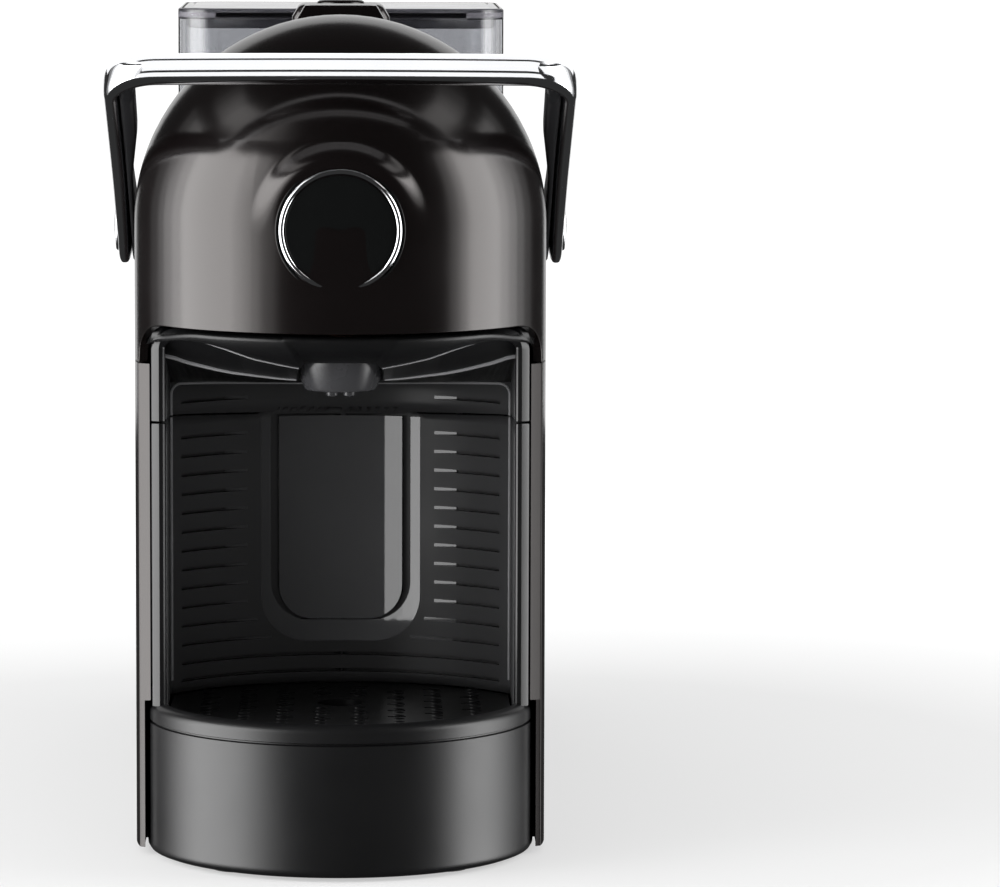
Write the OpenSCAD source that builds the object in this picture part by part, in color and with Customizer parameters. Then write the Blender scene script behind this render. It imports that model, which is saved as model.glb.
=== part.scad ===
// Pod coffee machine with a lift-up chrome lever, a pull-out cup drawer and a
// lift-off water tank. Millimetres, +Z up, +X to the right, front towards -Y.
// Inside the modules Y is the depth behind the frontmost point of the hood.

/* [Body] */
// Width of the casing, without the lever
body_w = 114; // [108:1:138]
// Depth from the front of the hood to the back of the tank dock
body_depth = 335; // [330:1:410]
// Height of the top of the dome
roof_z = 232.5; // [228:0.5:260]
// How far the flat run of the roof lies below the top of the dome
roof_drop = 6; // [4:0.5:10]
// Thickness of the hood and of the side panels
wall = 2.5; // [2:0.1:3]
// Height of the front lip of the hood
lip_z = 148.8; // [146:0.2:154]
// Height of the seam between the hood and the side panels
seam_z = 137.5; // [134:0.5:140]
// Height of the rubber feet
foot_h = 2.5; // [2:0.5:4]

/* [Cup bay] */
// Height of the rim of the drip bucket
rim_z = 42.8; // [38:0.2:50]
// Height of the split between the drawer and the fixed canopy
split_z = 116.9; // [112:0.1:120]
// Depth of the front edges of the side columns
column_d = 44; // [40:0.5:50]
// Width of the bezel beside the bay, seen from the front
bezel_w = 3.9; // [3:0.1:6]
// Depth of the back wall at its middle
bay_back_d = 110; // [106:0.5:112]
// How far the back wall curves forwards from its middle to its sides
bay_sag = 24.3; // [20:0.1:28]
// Depth of the coffee spout
spout_d = 50; // [42:0.5:54]
// Thickness of the drawer's walls
drawer_wall = 2.4; // [2:0.1:3]
// Spacing of the rows of drain slots, front to back
slot_pitch = 11.2; // [9:0.1:14]

/* [Lever] */
// Depth of the lever's pivots
pivot_d = 110; // [106:1:114]
// How far the pivots lie below the top of the dome
pivot_drop = 61.5; // [58:0.5:66]
// Depth of the lever's grip bar
bar_d = 9; // [6:0.5:12]
// How far the axis of the grip bar lies below the top of the dome
bar_drop = 13.5; // [10:0.5:16]
// Thickness of the grip bar
bar_t = 8.4; // [7:0.2:10]
// Angle through which the lever opens
lever_open = 75; // [70:1:80]
// Radius of the lever's shafts
shaft_r = 4.5; // [4:0.1:5.5]

/* [Brew group] */
// Width of the capsule slot
slot_w = 48.8; // [40:0.2:50]
// Depth of the front edge of the capsule slot
slot_d = 117.6; // [116:0.2:120]
// Length of the capsule slot, front to back
slot_len = 30.8; // [29:0.2:32]
// How far the piston moves back when the lever opens
piston_travel = 14; // [12:0.5:17]
// Radius of the follower pins
pin_r = 3; // [2.5:0.1:3.5]
// Radius of the injector tube
injector_r = 3; // [2.5:0.1:3.6]

/* [Water tank] */
// Width of the tank
tank_w = 102; // [84:1:106]
// Depth of the tank, front to back
tank_len = 84; // [78:1:86]
// Height of the top of the lid above the ground
tank_top = 228.7; // [200:0.1:240]
// Thickness of the tank's walls
tank_wall = 2; // [1.6:0.1:2.6]
// Radius of the tank's upright corners
tank_corner = 12; // [8:1:16]

/* [Top controls] */
// Radius of the brew button
button_r = 7; // [6:0.1:7.4]
// How far the button presses in
button_travel = 1.5; // [1:0.1:1.7]

/* [Fits] */
// Gap between pieces that move past each other
gap = 0.4; // [0.3:0.1:0.5]
// Radial clearance of a running fit
running = 0.05; // [0.03:0.01:0.09]
// Radius of the cord hole in the gland
cord_r = 3.6; // [3:0.1:4]

/* [Hidden] */
$fn = 96;
r_body = body_w / 2;
in_r = r_body - wall;
dome_z = roof_z - r_body;
arch_z = dome_z - roof_drop;
panel_in = in_r - 0.1;
tank_gap = 1;
tank_back = body_depth - tank_gap;
tank_front = tank_back - tank_len;
shell_d = tank_front - 3;
deck_z = foot_h + 2.5;
foot_r = 7;
front_foot_x = 28;
front_foot_d = 24;
back_foot_x = 38;

bucket_r = r_body - 3.2;
bucket_d = bucket_r + 1.4;
bucket_wall = 3;
floor_z = deck_z + 0.6;
column_in = sqrt(panel_in * panel_in - (r_body - column_d) * (r_body - column_d));
bezel_x = column_in - 0.7;
bay_x = bezel_x - bezel_w;
bezel_d = column_d - 4;
bay_side_d = bay_back_d - bay_sag;
bay_arc_r = (bay_x * bay_x + bay_sag * bay_sag) / (2 * bay_sag);
bay_arc_d = bay_back_d - bay_arc_r;
bay_outer_r = bay_arc_r + drawer_wall;
tray_x = bay_x - gap - 0.2;
tray_d = tray_x + 5;
tray_floor = floor_z + drawer_wall + gap;
tray_top = rim_z - 6.8;
grid_t = 2;
grid_hole_d = 71.5;
grid_hole_r = 6.5;
bin_front = bay_back_d + drawer_wall + 1.6;
bin_len = 50;
bin_x = 36;
bin_top = split_z - 4.9;
bin_wall = 1.8;
bin_corner = 3;

pivot_z = roof_z - pivot_drop;
bar_z = roof_z - bar_drop;
liner_in = r_body + 0.9;
liner_out = liner_in + 1.8;
lever_x = liner_out + 4.1;
hub_r = 11;
arm_angle = atan2(bar_z - pivot_z, pivot_d - bar_d);
arm_len = norm([bar_z - pivot_z, pivot_d - bar_d]);
arm_t = 9;
bush_r = shaft_r + 1.7;
flange_r = bush_r + 2;
flange_rise = max(pivot_z - arch_z, 0) + flange_r;
flange_x = sqrt(in_r * in_r - flange_rise * flange_rise) - 0.1;

slot_x = slot_w / 2;
slot_end = slot_d + slot_len;
head_d = slot_d - 1.6;
head_t = 4;
plunger_d = 143;
plunger_r = slot_x - 2.4;
piston_seal_r = plunger_r - 4;
head_seal_r = plunger_r - 5;
arm_in = slot_x + 0.6;
arm_out = arm_in + 3;
cheek_in = arm_out + 1;
cheek_out = cheek_in + 3;
cam_in = cheek_out + 1.5;
cam_out = cam_in + 3.5;
cam_r0 = 16;
cam_w = pin_r + 0.15;
cam_rim = 2.5;
pin_d = pivot_d + cam_r0;
frame_front = head_d - head_t - 8;
frame_top = pivot_z + 30;
frame_low = pivot_z - 31;
cross_d = plunger_d + piston_travel + 28;
frame_back = cross_d + 11;
leg_d = frame_back - 24;
cam_steps = 24;

block_d = frame_back;
block_r = 18;
block_c = block_d + block_r;
pump_d = block_c;
pump_half_d = 16;

hatch_x = slot_x - gap;
hatch_front = slot_d + 1;
hatch_t = 2.2;
hinge_d = slot_end + 0.6;
hinge_z = roof_z - roof_drop + 1.3;
hinge_r = 1.25;
knuckle_r = hinge_r + 1;
knuckle_x = 4.5;
pin_half = knuckle_x + 3.5;
ear_in = knuckle_x + 0.5;
ear_reach = 2;
tab_low_x = 14;
tab_top_x = 10.2;
tab_z = roof_z + 0.8;
console_d = hinge_d + knuckle_r + gap + 0.1;
console_len = 24;
console_z = roof_z - 0.1;
button_low = console_z - 1.4;
button_room = button_low - button_travel - 0.3;
button_d = console_d + 11;
button_z = roof_z + 1.6;
stem_r = 3;
switch_top = roof_z - 11;
stem_low = switch_top + button_travel + 0.3;

dock_z = 20.4;
dock_corner = 14;
cord_x = 32;
cord_z = 12.5;
gland_len = 14;
gland_half = 8;
tank_bottom = dock_z + gap;
lid_t = 3.4;
lid_z = tank_top - lid_t;
lid_axis_z = lid_z + lid_t / 2;
cover_screw_x = panel_in - 10.4;
lid_axis_d = tank_back - lid_t / 2;
valve_d = (tank_front + tank_back) / 2;
badge_z = dome_z + 1.1;
badge_r = 16.6;

// Turns depths behind the front of the hood into the part's own frame.
module place() {
    translate([0, -body_depth / 2, 0]) children();
}

// Extrudes a (depth, height) outline sideways from x0 to x1.
module along_x(x0, x1) {
    translate([x0, 0, 0]) rotate([90, 0, 90]) linear_extrude(x1 - x0) children();
}

// Extrudes an (x, height) outline from depth d0 to depth d1.
module along_y(d0, d1) {
    translate([0, d1, 0]) rotate([90, 0, 0]) linear_extrude(d1 - d0) children();
}

// Rod along X from x0 to x1 about (depth, height).
module rod_x(x0, x1, d, z, r) {
    translate([x0, d, z]) rotate([0, 90, 0]) cylinder(r = r, h = x1 - x0);
}

// Rod along Y from d0 to d1 about (x, height).
module rod_y(d0, d1, x, z, r) {
    translate([x, d1, z]) rotate([90, 0, 0]) cylinder(r = r, h = d1 - d0);
}

// The same thing on the left and on the right.
module both_sides() {
    children();
    mirror([1, 0, 0]) children();
}

// Block from one corner to the other.
module block(low, high) {
    translate(low) cube(high - low);
}

// Solid form of the casing above height z0: round nose, dome and roof.
module casing_form(r, z0, d_end) {
    translate([0, r_body, z0]) rotate([0, 0, 180]) rotate_extrude(angle = 180) {
        square([r, dome_z - z0]);
        translate([0, dome_z - z0]) intersection() {
            circle(r);
            square(r);
        }
    }
    along_y(r_body, d_end) {
        translate([-r, z0]) square([2 * r, arch_z - z0]);
        translate([0, arch_z]) intersection() {
            circle(r);
            translate([-r, 0]) square([2 * r, r]);
        }
    }
    translate([0, r_body, dome_z]) intersection() {
        sphere(r);
        block([-r, 0, 0.5 - roof_drop], [r, r, r]);
    }
}

// Side outline of the cut that opens the hood above the cup bay.
module bay_cut_outline() {
    corner = 8;
    translate([-1, seam_z - 10]) square([column_d - corner + 1, lip_z - seam_z + 10]);
    translate([-1, seam_z - 10]) square([column_d + 1, lip_z - seam_z + 10 - corner]);
    translate([column_d - corner, lip_z - corner]) circle(corner);
}

// U-shaped plan: a half disc in front and straight sides back to depth d_end.
module u_plan(r, d_center, d_end) {
    translate([0, d_center]) intersection() {
        circle(r);
        translate([-r, -r]) square([2 * r, r]);
    }
    translate([-r, d_center]) square([2 * r, d_end - d_center]);
}

// Rectangle with round corners, from (x, depth) low to high.
module round_rect(low, high, r) {
    translate(low + [r, 0]) square([high.x - low.x - 2 * r, high.y - low.y]);
    translate(low + [0, r]) square([high.x - low.x, high.y - low.y - 2 * r]);
    for (x = [low.x + r, high.x - r])
        for (y = [low.y + r, high.y - r])
            translate([x, y]) circle(r);
}

module base_plate() color("#202020") place() difference() {
    translate([0, 0, foot_h]) linear_extrude(deck_z - foot_h) {
        u_plan(bucket_r - bucket_wall - 1.3, bucket_d, bucket_d + 2);
        translate([-panel_in, bucket_d + 2])
            square([2 * panel_in, body_depth - 16 - bucket_d]);
        round_rect([-panel_in, shell_d], [panel_in, body_depth - 0.2], dock_corner);
    }
    for (p = frame_screw_places())
        translate([p.x, p.y, 0]) cylinder(r = 2, h = 20);
}

function foot_places() = [
    for (side = [-1, 1])
        for (p = [[front_foot_x, front_foot_d], [back_foot_x, body_depth - 28]])
            [side * p.x, p.y]
];

module rubber_feet() color("#161616") place() {
    for (p = foot_places())
        translate([p.x, p.y, 0]) cylinder(r = foot_r, h = foot_h);
}

// Right side panel; the left one is its mirror image.
module side_panel() place() difference() {
    translate([0, 0, foot_h - 0.3]) linear_extrude(seam_z - gap - foot_h + 0.3) {
        translate([0, r_body]) intersection() {
            difference() {
                circle(r_body);
                circle(panel_in);
            }
            translate([0, column_d - r_body]) square([r_body, r_body - column_d]);
        }
        translate([panel_in, r_body]) square([r_body - panel_in, shell_d - r_body]);
    }
    translate([0, bucket_d, 0]) cylinder(r = bucket_r + 0.35, h = rim_z + 0.7);
    block([0, 0, 0], [bucket_r + 0.35, bucket_d, rim_z + 0.7]);
}

module right_side_panel() color("#1a1614") side_panel();

module left_side_panel() color("#1a1614") mirror([1, 0, 0]) side_panel();

// Round pad that carries the badge, cut to the outside of the hood.
module badge_pad() {
    rod_y(0.9, 12, 0, badge_z, badge_r + 4);
}

module hood() color("#1c1713") place() difference() {
    union() {
        casing_form(r_body, seam_z, shell_d);
        badge_pad();
    }
    casing_form(in_r, seam_z - 1, shell_d + 1);
    along_x(-r_body - 1, r_body + 1) bay_cut_outline();
    rod_y(-1, 1.8, 0, badge_z, badge_r);
    block([-slot_x - 0.2, slot_d, arch_z], [slot_x + 0.2, slot_end, roof_z + 5]);
    block([-knuckle_x - gap, slot_end - 1, arch_z],
          [knuckle_x + gap, hinge_d + knuckle_r + gap, roof_z + 5]);
    rod_x(-r_body - 1, r_body + 1, pivot_d, pivot_z, bush_r);
    translate([0, button_d, arch_z]) cylinder(r = 4, h = r_body + 1);
}

module badge_disc() color("#0c0c0d") place() rod_y(0.5, 1.8, 0, badge_z, badge_r - 1.6);

module badge_ring() color("#c6c7c8") place() difference() {
    rod_y(0.2, 1.8, 0, badge_z, badge_r);
    rod_y(-1, 3, 0, badge_z, badge_r - 1.6);
}

// Height of the underside of the canopy's ceiling at depth d.
function ceiling_z(d) = lip_z - 2.6 - (d - 3.2) * 0.171;

module canopy_ceiling() intersection() {
    d_end = bay_back_d + drawer_wall;
    along_x(-r_body, r_body) polygon([
        [3.2, ceiling_z(3.2)], [3.2, lip_z - 0.2], [14, lip_z - 0.2],
        [d_end, ceiling_z(d_end) + drawer_wall], [d_end, ceiling_z(d_end)]
    ]);
    linear_extrude(lip_z + 10) intersection() {
        union() {
            translate([0, r_body]) intersection() {
                circle(in_r - 0.6);
                translate([-r_body, -r_body]) square([body_w, column_d + 3]);
            }
            translate([-bay_x - 2, column_d]) square([2 * bay_x + 4, 80]);
        }
        union() {
            translate([-r_body, 0]) square([body_w, bay_side_d]);
            translate([0, bay_arc_d]) circle(bay_outer_r);
        }
    }
}

// Bezels, side walls and concave back wall of the bay between two heights.
module bay_walls(z0, z1) {
    both_sides() {
        block([bay_x, bezel_d, z0], [bezel_x, column_d + 3, z1]);
        block([bay_x, column_d, z0], [bay_x + 2, bay_side_d, z1]);
    }
    translate([0, 0, z0]) linear_extrude(z1 - z0) intersection() {
        translate([0, bay_arc_d]) difference() {
            circle(bay_outer_r);
            circle(bay_arc_r);
        }
        translate([-bay_x - 2, bay_side_d - 6]) square([2 * bay_x + 4, 60]);
    }
}

module brew_canopy() color("#242424") place() difference() {
    union() {
        canopy_ceiling();
        intersection() {
            bay_walls(split_z + gap / 2, lip_z - 0.2);
            along_x(-r_body, r_body) polygon([
                [0, split_z], [0, lip_z], [14, lip_z],
                [120, ceiling_z(120) + drawer_wall], [120, split_z]
            ]);
        }
    }
    translate([0, spout_d, 0]) cylinder(r = 5, h = lip_z + 5);
}

module coffee_spout() color("#55585a") place() translate([0, spout_d, 0]) difference() {
    union() {
        translate([0, 0, ceiling_z(spout_d) - 8.9])
            cylinder(r1 = 9.2, r2 = 11.4, h = 7);
        translate([0, 0, ceiling_z(spout_d) - 1.9]) cylinder(r = 5, h = 8);
        for (x = [-2.3, 2.3])
            translate([x, 0, ceiling_z(spout_d) - 10.6]) cylinder(r = 0.9, h = 2);
    }
    translate([0, 0, ceiling_z(spout_d) - 7]) cylinder(r = 2.5, h = 20);
    for (x = [-2.3, 2.3])
        translate([x, 0, ceiling_z(spout_d) - 12]) cylinder(r = 0.5, h = 6);
}

// Cross-section of the raised pieces on the roof: narrower at the top.
module roof_trapezoid(z_top) {
    polygon([
        [-tab_low_x, dome_z], [tab_low_x, dome_z], [tab_low_x, roof_z - roof_drop],
        [tab_top_x, z_top], [-tab_top_x, z_top], [-tab_low_x, roof_z - roof_drop]
    ]);
}

module button_console() color("#171717") place() difference() {
    union() {
        along_y(console_d, console_d + console_len) roof_trapezoid(console_z);
        both_sides() block([ear_in, hinge_d - ear_reach, arch_z],
                           [pin_half, console_d, hinge_z + 2.2]);
    }
    rod_y(0, body_depth, 0, arch_z, r_body);
    translate([0, button_d, button_room]) cylinder(r = button_r + 0.3, h = 20);
    translate([0, button_d, arch_z]) cylinder(r = stem_r + 0.3, h = 80);
    rod_x(-20, 20, hinge_d, hinge_z, hinge_r);
}

module button_switch() color("#3a3c3e") place() {
    intersection() {
        union() {
            block([-12, button_d - 7, roof_z - 22.5], [12, button_d + 6, roof_z - 20]);
            both_sides() block([9, button_d - 7, roof_z - 22.5], [12, button_d + 6, roof_z]);
        }
        rod_y(0, body_depth, 0, arch_z, in_r);
    }
    block([-6, button_d - 6, roof_z - 20], [6, button_d + 6, switch_top - 2]);
    translate([0, button_d, switch_top - 2]) cylinder(r = 2, h = 2);
}

module rear_cover() color("#1e1e1e") place() difference() {
    d0 = shell_d - 2.9;
    union() {
        along_y(d0, d0 + 2.5) {
            translate([-panel_in, deck_z]) square([2 * panel_in, arch_z - deck_z]);
            translate([0, arch_z]) intersection() {
                circle(panel_in);
                translate([-panel_in, 0]) square([2 * panel_in, panel_in]);
            }
        }
        for (p = cover_screw_places()) rod_y(d0 - 8, d0 + 1, p.x, p.y, 4.5);
    }
    for (p = cover_screw_places()) rod_y(d0 - 7, shell_d + 1, p.x, p.y, 1.8);
    rod_y(d0 - 1, shell_d, 0, deck_z + 5, 2.5);
    rod_y(d0 - 1, shell_d, cord_x, cord_z, cord_r + 0.8);
}

function cover_screw_places() = [
    for (x = [-cover_screw_x, cover_screw_x]) for (z = [30, 128]) [x, z]
];

module rear_screws() color("#9a9c9e") place() {
    for (p = cover_screw_places()) {
        rod_y(shell_d - 9.8, shell_d, p.x, p.y, 1.8);
        rod_y(shell_d - 0.4, shell_d + 1.4, p.x, p.y, 3.4);
    }
}

module tank_dock() color("#1b1b1b") place() difference() {
    translate([0, 0, deck_z]) linear_extrude(dock_z - deck_z) {
        round_rect([-panel_in, shell_d], [panel_in, body_depth], dock_corner);
        translate([-panel_in, shell_d]) square([2 * panel_in, dock_corner]);
    }
    translate([0, valve_d, dock_z - 7]) cylinder(r = 10, h = 10);
    translate([0, valve_d, deck_z + 5]) cylinder(r = 3, h = 10);
    rod_y(shell_d - 1, valve_d, 0, deck_z + 5, 2.5);
    rod_y(shell_d - 1, body_depth - gland_len + 1, cord_x, cord_z, cord_r + 0.8);
    block([cord_x - gland_half, body_depth - gland_len, deck_z - 1],
          [cord_x + gland_half, body_depth + 1, dock_z + 1]);
}

module dock_seal() color("#7a2f24") place() translate([0, valve_d, dock_z - 7]) difference() {
    cylinder(r = 10, h = 2);
    translate([0, 0, -1]) cylinder(r = 5, h = 4);
}

module cord_gland() color("#101010") place() difference() {
    block([cord_x - gland_half, body_depth - gland_len, deck_z],
          [cord_x + gland_half, body_depth, dock_z]);
    rod_y(body_depth - gland_len - 1, body_depth + 1, cord_x, cord_z, cord_r);
}

function frame_screw_places() = [
    for (x = [-20, 20]) for (y = [leg_d + 6, leg_d + 18]) [x, y]
];

module brew_frame() color("#8f9396") place() difference() {
    union() {
        both_sides() along_x(cheek_in, cheek_out) {
            translate([frame_front, frame_low])
                square([frame_back - frame_front, frame_top - frame_low]);
            translate([leg_d, deck_z]) square([frame_back - leg_d, frame_low - deck_z]);
        }
        block([-cheek_in, frame_front, pivot_z - 22], [cheek_in, frame_front + 4, pivot_z + 22]);
        block([-cheek_in, cross_d, pivot_z - 22], [cheek_in, cross_d + 4, pivot_z + 22]);
        block([-cheek_in, leg_d, deck_z], [cheek_in, frame_back, deck_z + 2]);
    }
    both_sides() {
        rod_x(cheek_in - 1, cheek_out + 1, pivot_d, pivot_z, shaft_r + running);
        block([cheek_in - 1, pin_d, pivot_z - cam_w],
              [cheek_out + 1, pin_d + piston_travel, pivot_z + cam_w]);
        rod_x(cheek_in - 1, cheek_out + 1, pin_d, pivot_z, cam_w);
        rod_x(cheek_in - 1, cheek_out + 1, pin_d + piston_travel, pivot_z, cam_w);
    }
    rod_y(frame_front - 1, frame_front + 5, 0, pivot_z - 12, 4);
    rod_y(cross_d - 1, cross_d + 5, 0, pivot_z, injector_r);
    for (p = frame_screw_places()) translate([p.x, p.y, deck_z - 1]) cylinder(r = 2, h = 5);
}

module frame_screws() color("#b5b7b9") place() {
    for (p = frame_screw_places()) translate([p.x, p.y, foot_h]) {
        cylinder(r = 2, h = deck_z + 2 - foot_h);
        translate([0, 0, deck_z + 2 - foot_h]) cylinder(r = 3.6, h = 2);
    }
}

module extraction_head() color("#2b2c2e") place() difference() {
    union() {
        rod_y(frame_front + 4, head_d, 0, pivot_z, plunger_r);
        rod_y(frame_front - 6, frame_front + 4, 0, pivot_z - 12, 4);
    }
    rod_y(frame_front - 7, frame_front + 8, 0, pivot_z - 12, 2);
    rod_y(head_d - 2, head_d + 1, 0, pivot_z, head_seal_r);
}

module head_seal() color("#8c3b2a") place() difference() {
    rod_y(head_d - 2, head_d, 0, pivot_z, head_seal_r);
    rod_y(head_d - 3, head_d + 1, 0, pivot_z, head_seal_r - 2.5);
}

module outlet_tube() color("#d8d4cb") place() difference() {
    z_tube = pivot_z - 12;
    union() {
        rod_y(spout_d, frame_front - 6, 0, z_tube, 3.5);
        translate([0, spout_d, z_tube]) sphere(3.5);
        translate([0, spout_d, ceiling_z(spout_d) + 6.1])
            cylinder(r = 3.5, h = z_tube - ceiling_z(spout_d) - 6.1);
    }
    rod_y(spout_d, frame_front, 0, z_tube, 2);
    translate([0, spout_d, ceiling_z(spout_d)]) cylinder(r = 2, h = z_tube - ceiling_z(spout_d));
}

module slot_guide() color("#303133") place() intersection() {
    difference() {
        union() {
            block([-slot_x - 1.8, slot_d - 1.8, frame_top - 4],
                  [slot_x + 1.8, slot_end + 1.8, roof_z]);
            block([-cheek_in, slot_d - 1.8, frame_top - 4],
                  [cheek_in, slot_end + 1.8, frame_top - 2]);
        }
        block([-slot_x, slot_d, frame_top - 5], [slot_x, slot_end, roof_z + 1]);
    }
    rod_y(0, body_depth, 0, arch_z, in_r - 0.1);
}

module capsule_chute() color("#2d2e30") place() difference() {
    d0 = bin_front - 0.8;
    d1 = plunger_d + piston_travel + 1;
    union() {
        block([-slot_x - 2, d0, split_z + 1], [slot_x + 2, d1 + 2, frame_low]);
        block([-cheek_out, d0, frame_low - 2], [cheek_out, d1 + 2, frame_low]);
    }
    block([-slot_x, d0 + 2, split_z], [slot_x, d1, frame_low + 1]);
}

module injector_tube() color("#c4c6c8") place() difference() {
    rod_y(plunger_d + 13, block_d, 0, pivot_z, injector_r);
    rod_y(plunger_d + 12, block_d + 1, 0, pivot_z, injector_r - 1.2);
}

module thermoblock() color("#a8abad") place() {
    z0 = pivot_z - 49;
    block([-cheek_out, block_d, pivot_z - 24], [cheek_out, block_d + 3, pivot_z + 16]);
    translate([0, block_c, z0]) cylinder(r = block_r, h = 62);
    for (i = [0:4])
        translate([0, block_c, z0 + 8 + 11 * i]) cylinder(r = block_r + 3, h = 3);
}

module heater_terminals() color("#b8863b") place() {
    for (x = [-8, 8])
        translate([x, block_c, pivot_z + 13]) cylinder(r = 2.5, h = 9);
}

module thermostat() color("#d5d5d0") place() {
    translate([0, block_c, pivot_z + 13]) cylinder(r = 4, h = 4);
}

module pump_body() color("#6d5b2e") place() translate([0, pump_d, deck_z]) {
    translate([0, 0, 9]) cylinder(r = 9, h = 94);
    translate([0, 0, 103]) cylinder(r = 5, h = 6);
    block([-18, -pump_half_d, 40], [18, pump_half_d, 76]);
    translate([0, 0, 4]) cylinder(r = 4, h = 5);
}

function pump_mount_heights() = [deck_z + 16, deck_z + 92];

module pump_mounts() color("#151515") place() {
    for (z = pump_mount_heights()) translate([0, pump_d, z]) difference() {
        cylinder(r = 13, h = 6);
        translate([0, 0, -1]) cylinder(r = 9, h = 8);
    }
}

module pump_bracket() color("#97999b") place() difference() {
    back = pump_d + pump_half_d + 1;
    union() {
        block([-24, back, deck_z], [24, back + 2, deck_z + 104]);
        for (z = pump_mount_heights())
            block([-20, block_d + 2, z + 2], [20, back, z + 4]);
    }
    for (z = pump_mount_heights())
        translate([0, pump_d, z]) cylinder(r = 13, h = 6);
}

module pressure_tube() color("#dcdad2") place() {
    translate([0, pump_d, deck_z + 109]) cylinder(r = 3, h = pivot_z - 49 - deck_z - 109);
}

module flow_meter() color("#e3e1da") place() difference() {
    translate([-38, pump_d, deck_z]) cylinder(r = 12, h = 12);
    rod_x(-30, -20, pump_d, deck_z + 5, 2.5);
    rod_y(pump_d + 6, pump_d + 20, -38, deck_z + 5, 2.5);
}

module feed_tube() color("#e8e6e0") place() {
    z = deck_z + 5;
    rod_x(-30, -6, pump_d, z, 2.5);
    translate([0, pump_d, z - 2.5]) difference() {
        cylinder(r = 6.5, h = 6);
        translate([0, 0, 1.5]) cylinder(r = 4, h = 6);
    }
    rod_y(pump_d + 6, shell_d - 6, -38, z, 2.5);
    rod_x(-38, 0, shell_d - 6, z, 2.5);
    translate([-38, shell_d - 6, z]) sphere(2.5);
    rod_y(shell_d - 6, shell_d + 3, 0, z, 2.5);
}

module control_board() color("#1f5a3a") place() {
    x = cheek_out + 6;
    block([x, leg_d + 6, deck_z], [x + 1.6, shell_d - 12, deck_z + 92]);
    block([x + 1.6, leg_d + 14, deck_z + 50], [x + 9, leg_d + 34, deck_z + 72]);
    block([x + 1.6, leg_d + 40, deck_z + 20], [x + 7, leg_d + 52, deck_z + 36]);
    for (i = [0:2])
        rod_x(x + 1.6, x + 8, leg_d + 20, deck_z + 14 + 12 * i, 4);
}

module lever_bushings() color("#d9d6cc") place() both_sides() difference() {
    union() {
        rod_x(flange_x - 2, flange_x, pivot_d, pivot_z, flange_r);
        rod_x(flange_x, r_body + 0.5, pivot_d, pivot_z, bush_r);
    }
    rod_x(flange_x - 3, r_body + 1, pivot_d, pivot_z, shaft_r + running);
}

module hatch_pin() color("#b9bbbd") place()
    rod_x(-pin_half, pin_half, hinge_d, hinge_z, hinge_r);

// Outline of one lever arm, drawn from the pivot along +X in two dimensions.
module arm_outline(hub, t) {
    circle(hub);
    polygon([
        [0, hub - 1.5], [arm_len * 0.45, t / 2 + 1], [arm_len, t / 2],
        [arm_len, -t / 2], [arm_len * 0.45, -t / 2 - 1], [0, 1.5 - hub]
    ]);
    translate([arm_len, 0]) circle(t / 2);
}

// Stands an arm outline beside the body, from x0 to x1.
module arm_plate(x0, x1, hub, t) {
    translate([x0, pivot_d, pivot_z]) rotate([90, 0, 90]) linear_extrude(x1 - x0)
        rotate(180 - arm_angle) arm_outline(hub, t);
}

module lever_bail() color("#d4d6d8") place() difference() {
    union() {
        both_sides() arm_plate(liner_out, lever_x, hub_r, arm_t);
        rod_x(-liner_out - 1, liner_out + 1, bar_d, bar_z, bar_t / 2);
    }
    both_sides() rod_x(liner_out - 2, lever_x - 1.8, pivot_d, pivot_z, shaft_r);
}

module lever_liners() color("#141414") place() both_sides() difference() {
    arm_plate(liner_in, liner_out, hub_r - 2, arm_t - 2);
    rod_x(liner_in - 1, liner_out + 1, bar_d, bar_z, bar_t / 2);
    rod_x(liner_in - 1, liner_out + 1, pivot_d, pivot_z, shaft_r);
}

module lever_shafts() color("#babcbe") place() both_sides()
    rod_x(cheek_in + 0.1, lever_x - 1.8, pivot_d, pivot_z, shaft_r);

// Radius of the cam groove's middle line at angle a from straight back.
function cam_r(a) = cam_r0 + piston_travel * a / lever_open;

// Point on the groove's middle line, moved sideways by w.
function cam_point(a, w) =
    let (
        slope = piston_travel / (lever_open * PI / 180),
        along = [
            slope * cos(a) - cam_r(a) * sin(a),
            slope * sin(a) + cam_r(a) * cos(a)
        ],
        across = [along.y, -along.x] / norm(along)
    )
    cam_r(a) * [cos(a), sin(a)] + w * across;

function cam_angles() = [for (i = [0:cam_steps]) lever_open * i / cam_steps];

// Strip that runs along the groove, w wide on each side.
module cam_strip(w) {
    angles = cam_angles();
    polygon(concat(
        [for (a = angles) cam_point(a, w)],
        [for (i = [cam_steps:-1:0]) cam_point(angles[i], -w)]
    ));
    for (a = [0, lever_open])
        translate(cam_point(a, 0)) circle(w);
}

module cam_plates() color("#c9a24a") place() both_sides()
    translate([cam_in, pivot_d, pivot_z]) rotate([90, 0, 90])
        linear_extrude(cam_out - cam_in) difference() {
            union() {
                circle(hub_r - 1);
                cam_strip(cam_w + cam_rim);
                polygon(concat([[0, 0]], [for (a = cam_angles()) cam_point(a, 0)]));
            }
            circle(shaft_r);
            cam_strip(cam_w);
        }

module piston_carriage() color("#3a3d40") place() difference() {
    union() {
        rod_y(plunger_d, plunger_d + 8, 0, pivot_z, plunger_r);
        block([-arm_out, plunger_d + 4, pivot_z - 8], [arm_out, plunger_d + 8, pivot_z + 8]);
        rod_y(plunger_d + 8, plunger_d + 25, 0, pivot_z, injector_r + 3);
        both_sides() block([arm_in, pin_d - 6, pivot_z - 6], [arm_out, plunger_d + 8, pivot_z + 6]);
    }
    rod_y(plunger_d - 1, plunger_d + 26, 0, pivot_z, injector_r + running);
    both_sides() rod_x(arm_in - 1, arm_out + 1, pin_d, pivot_z, pin_r);
    rod_y(plunger_d - 1, plunger_d + 2, 0, pivot_z, piston_seal_r);
}

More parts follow.
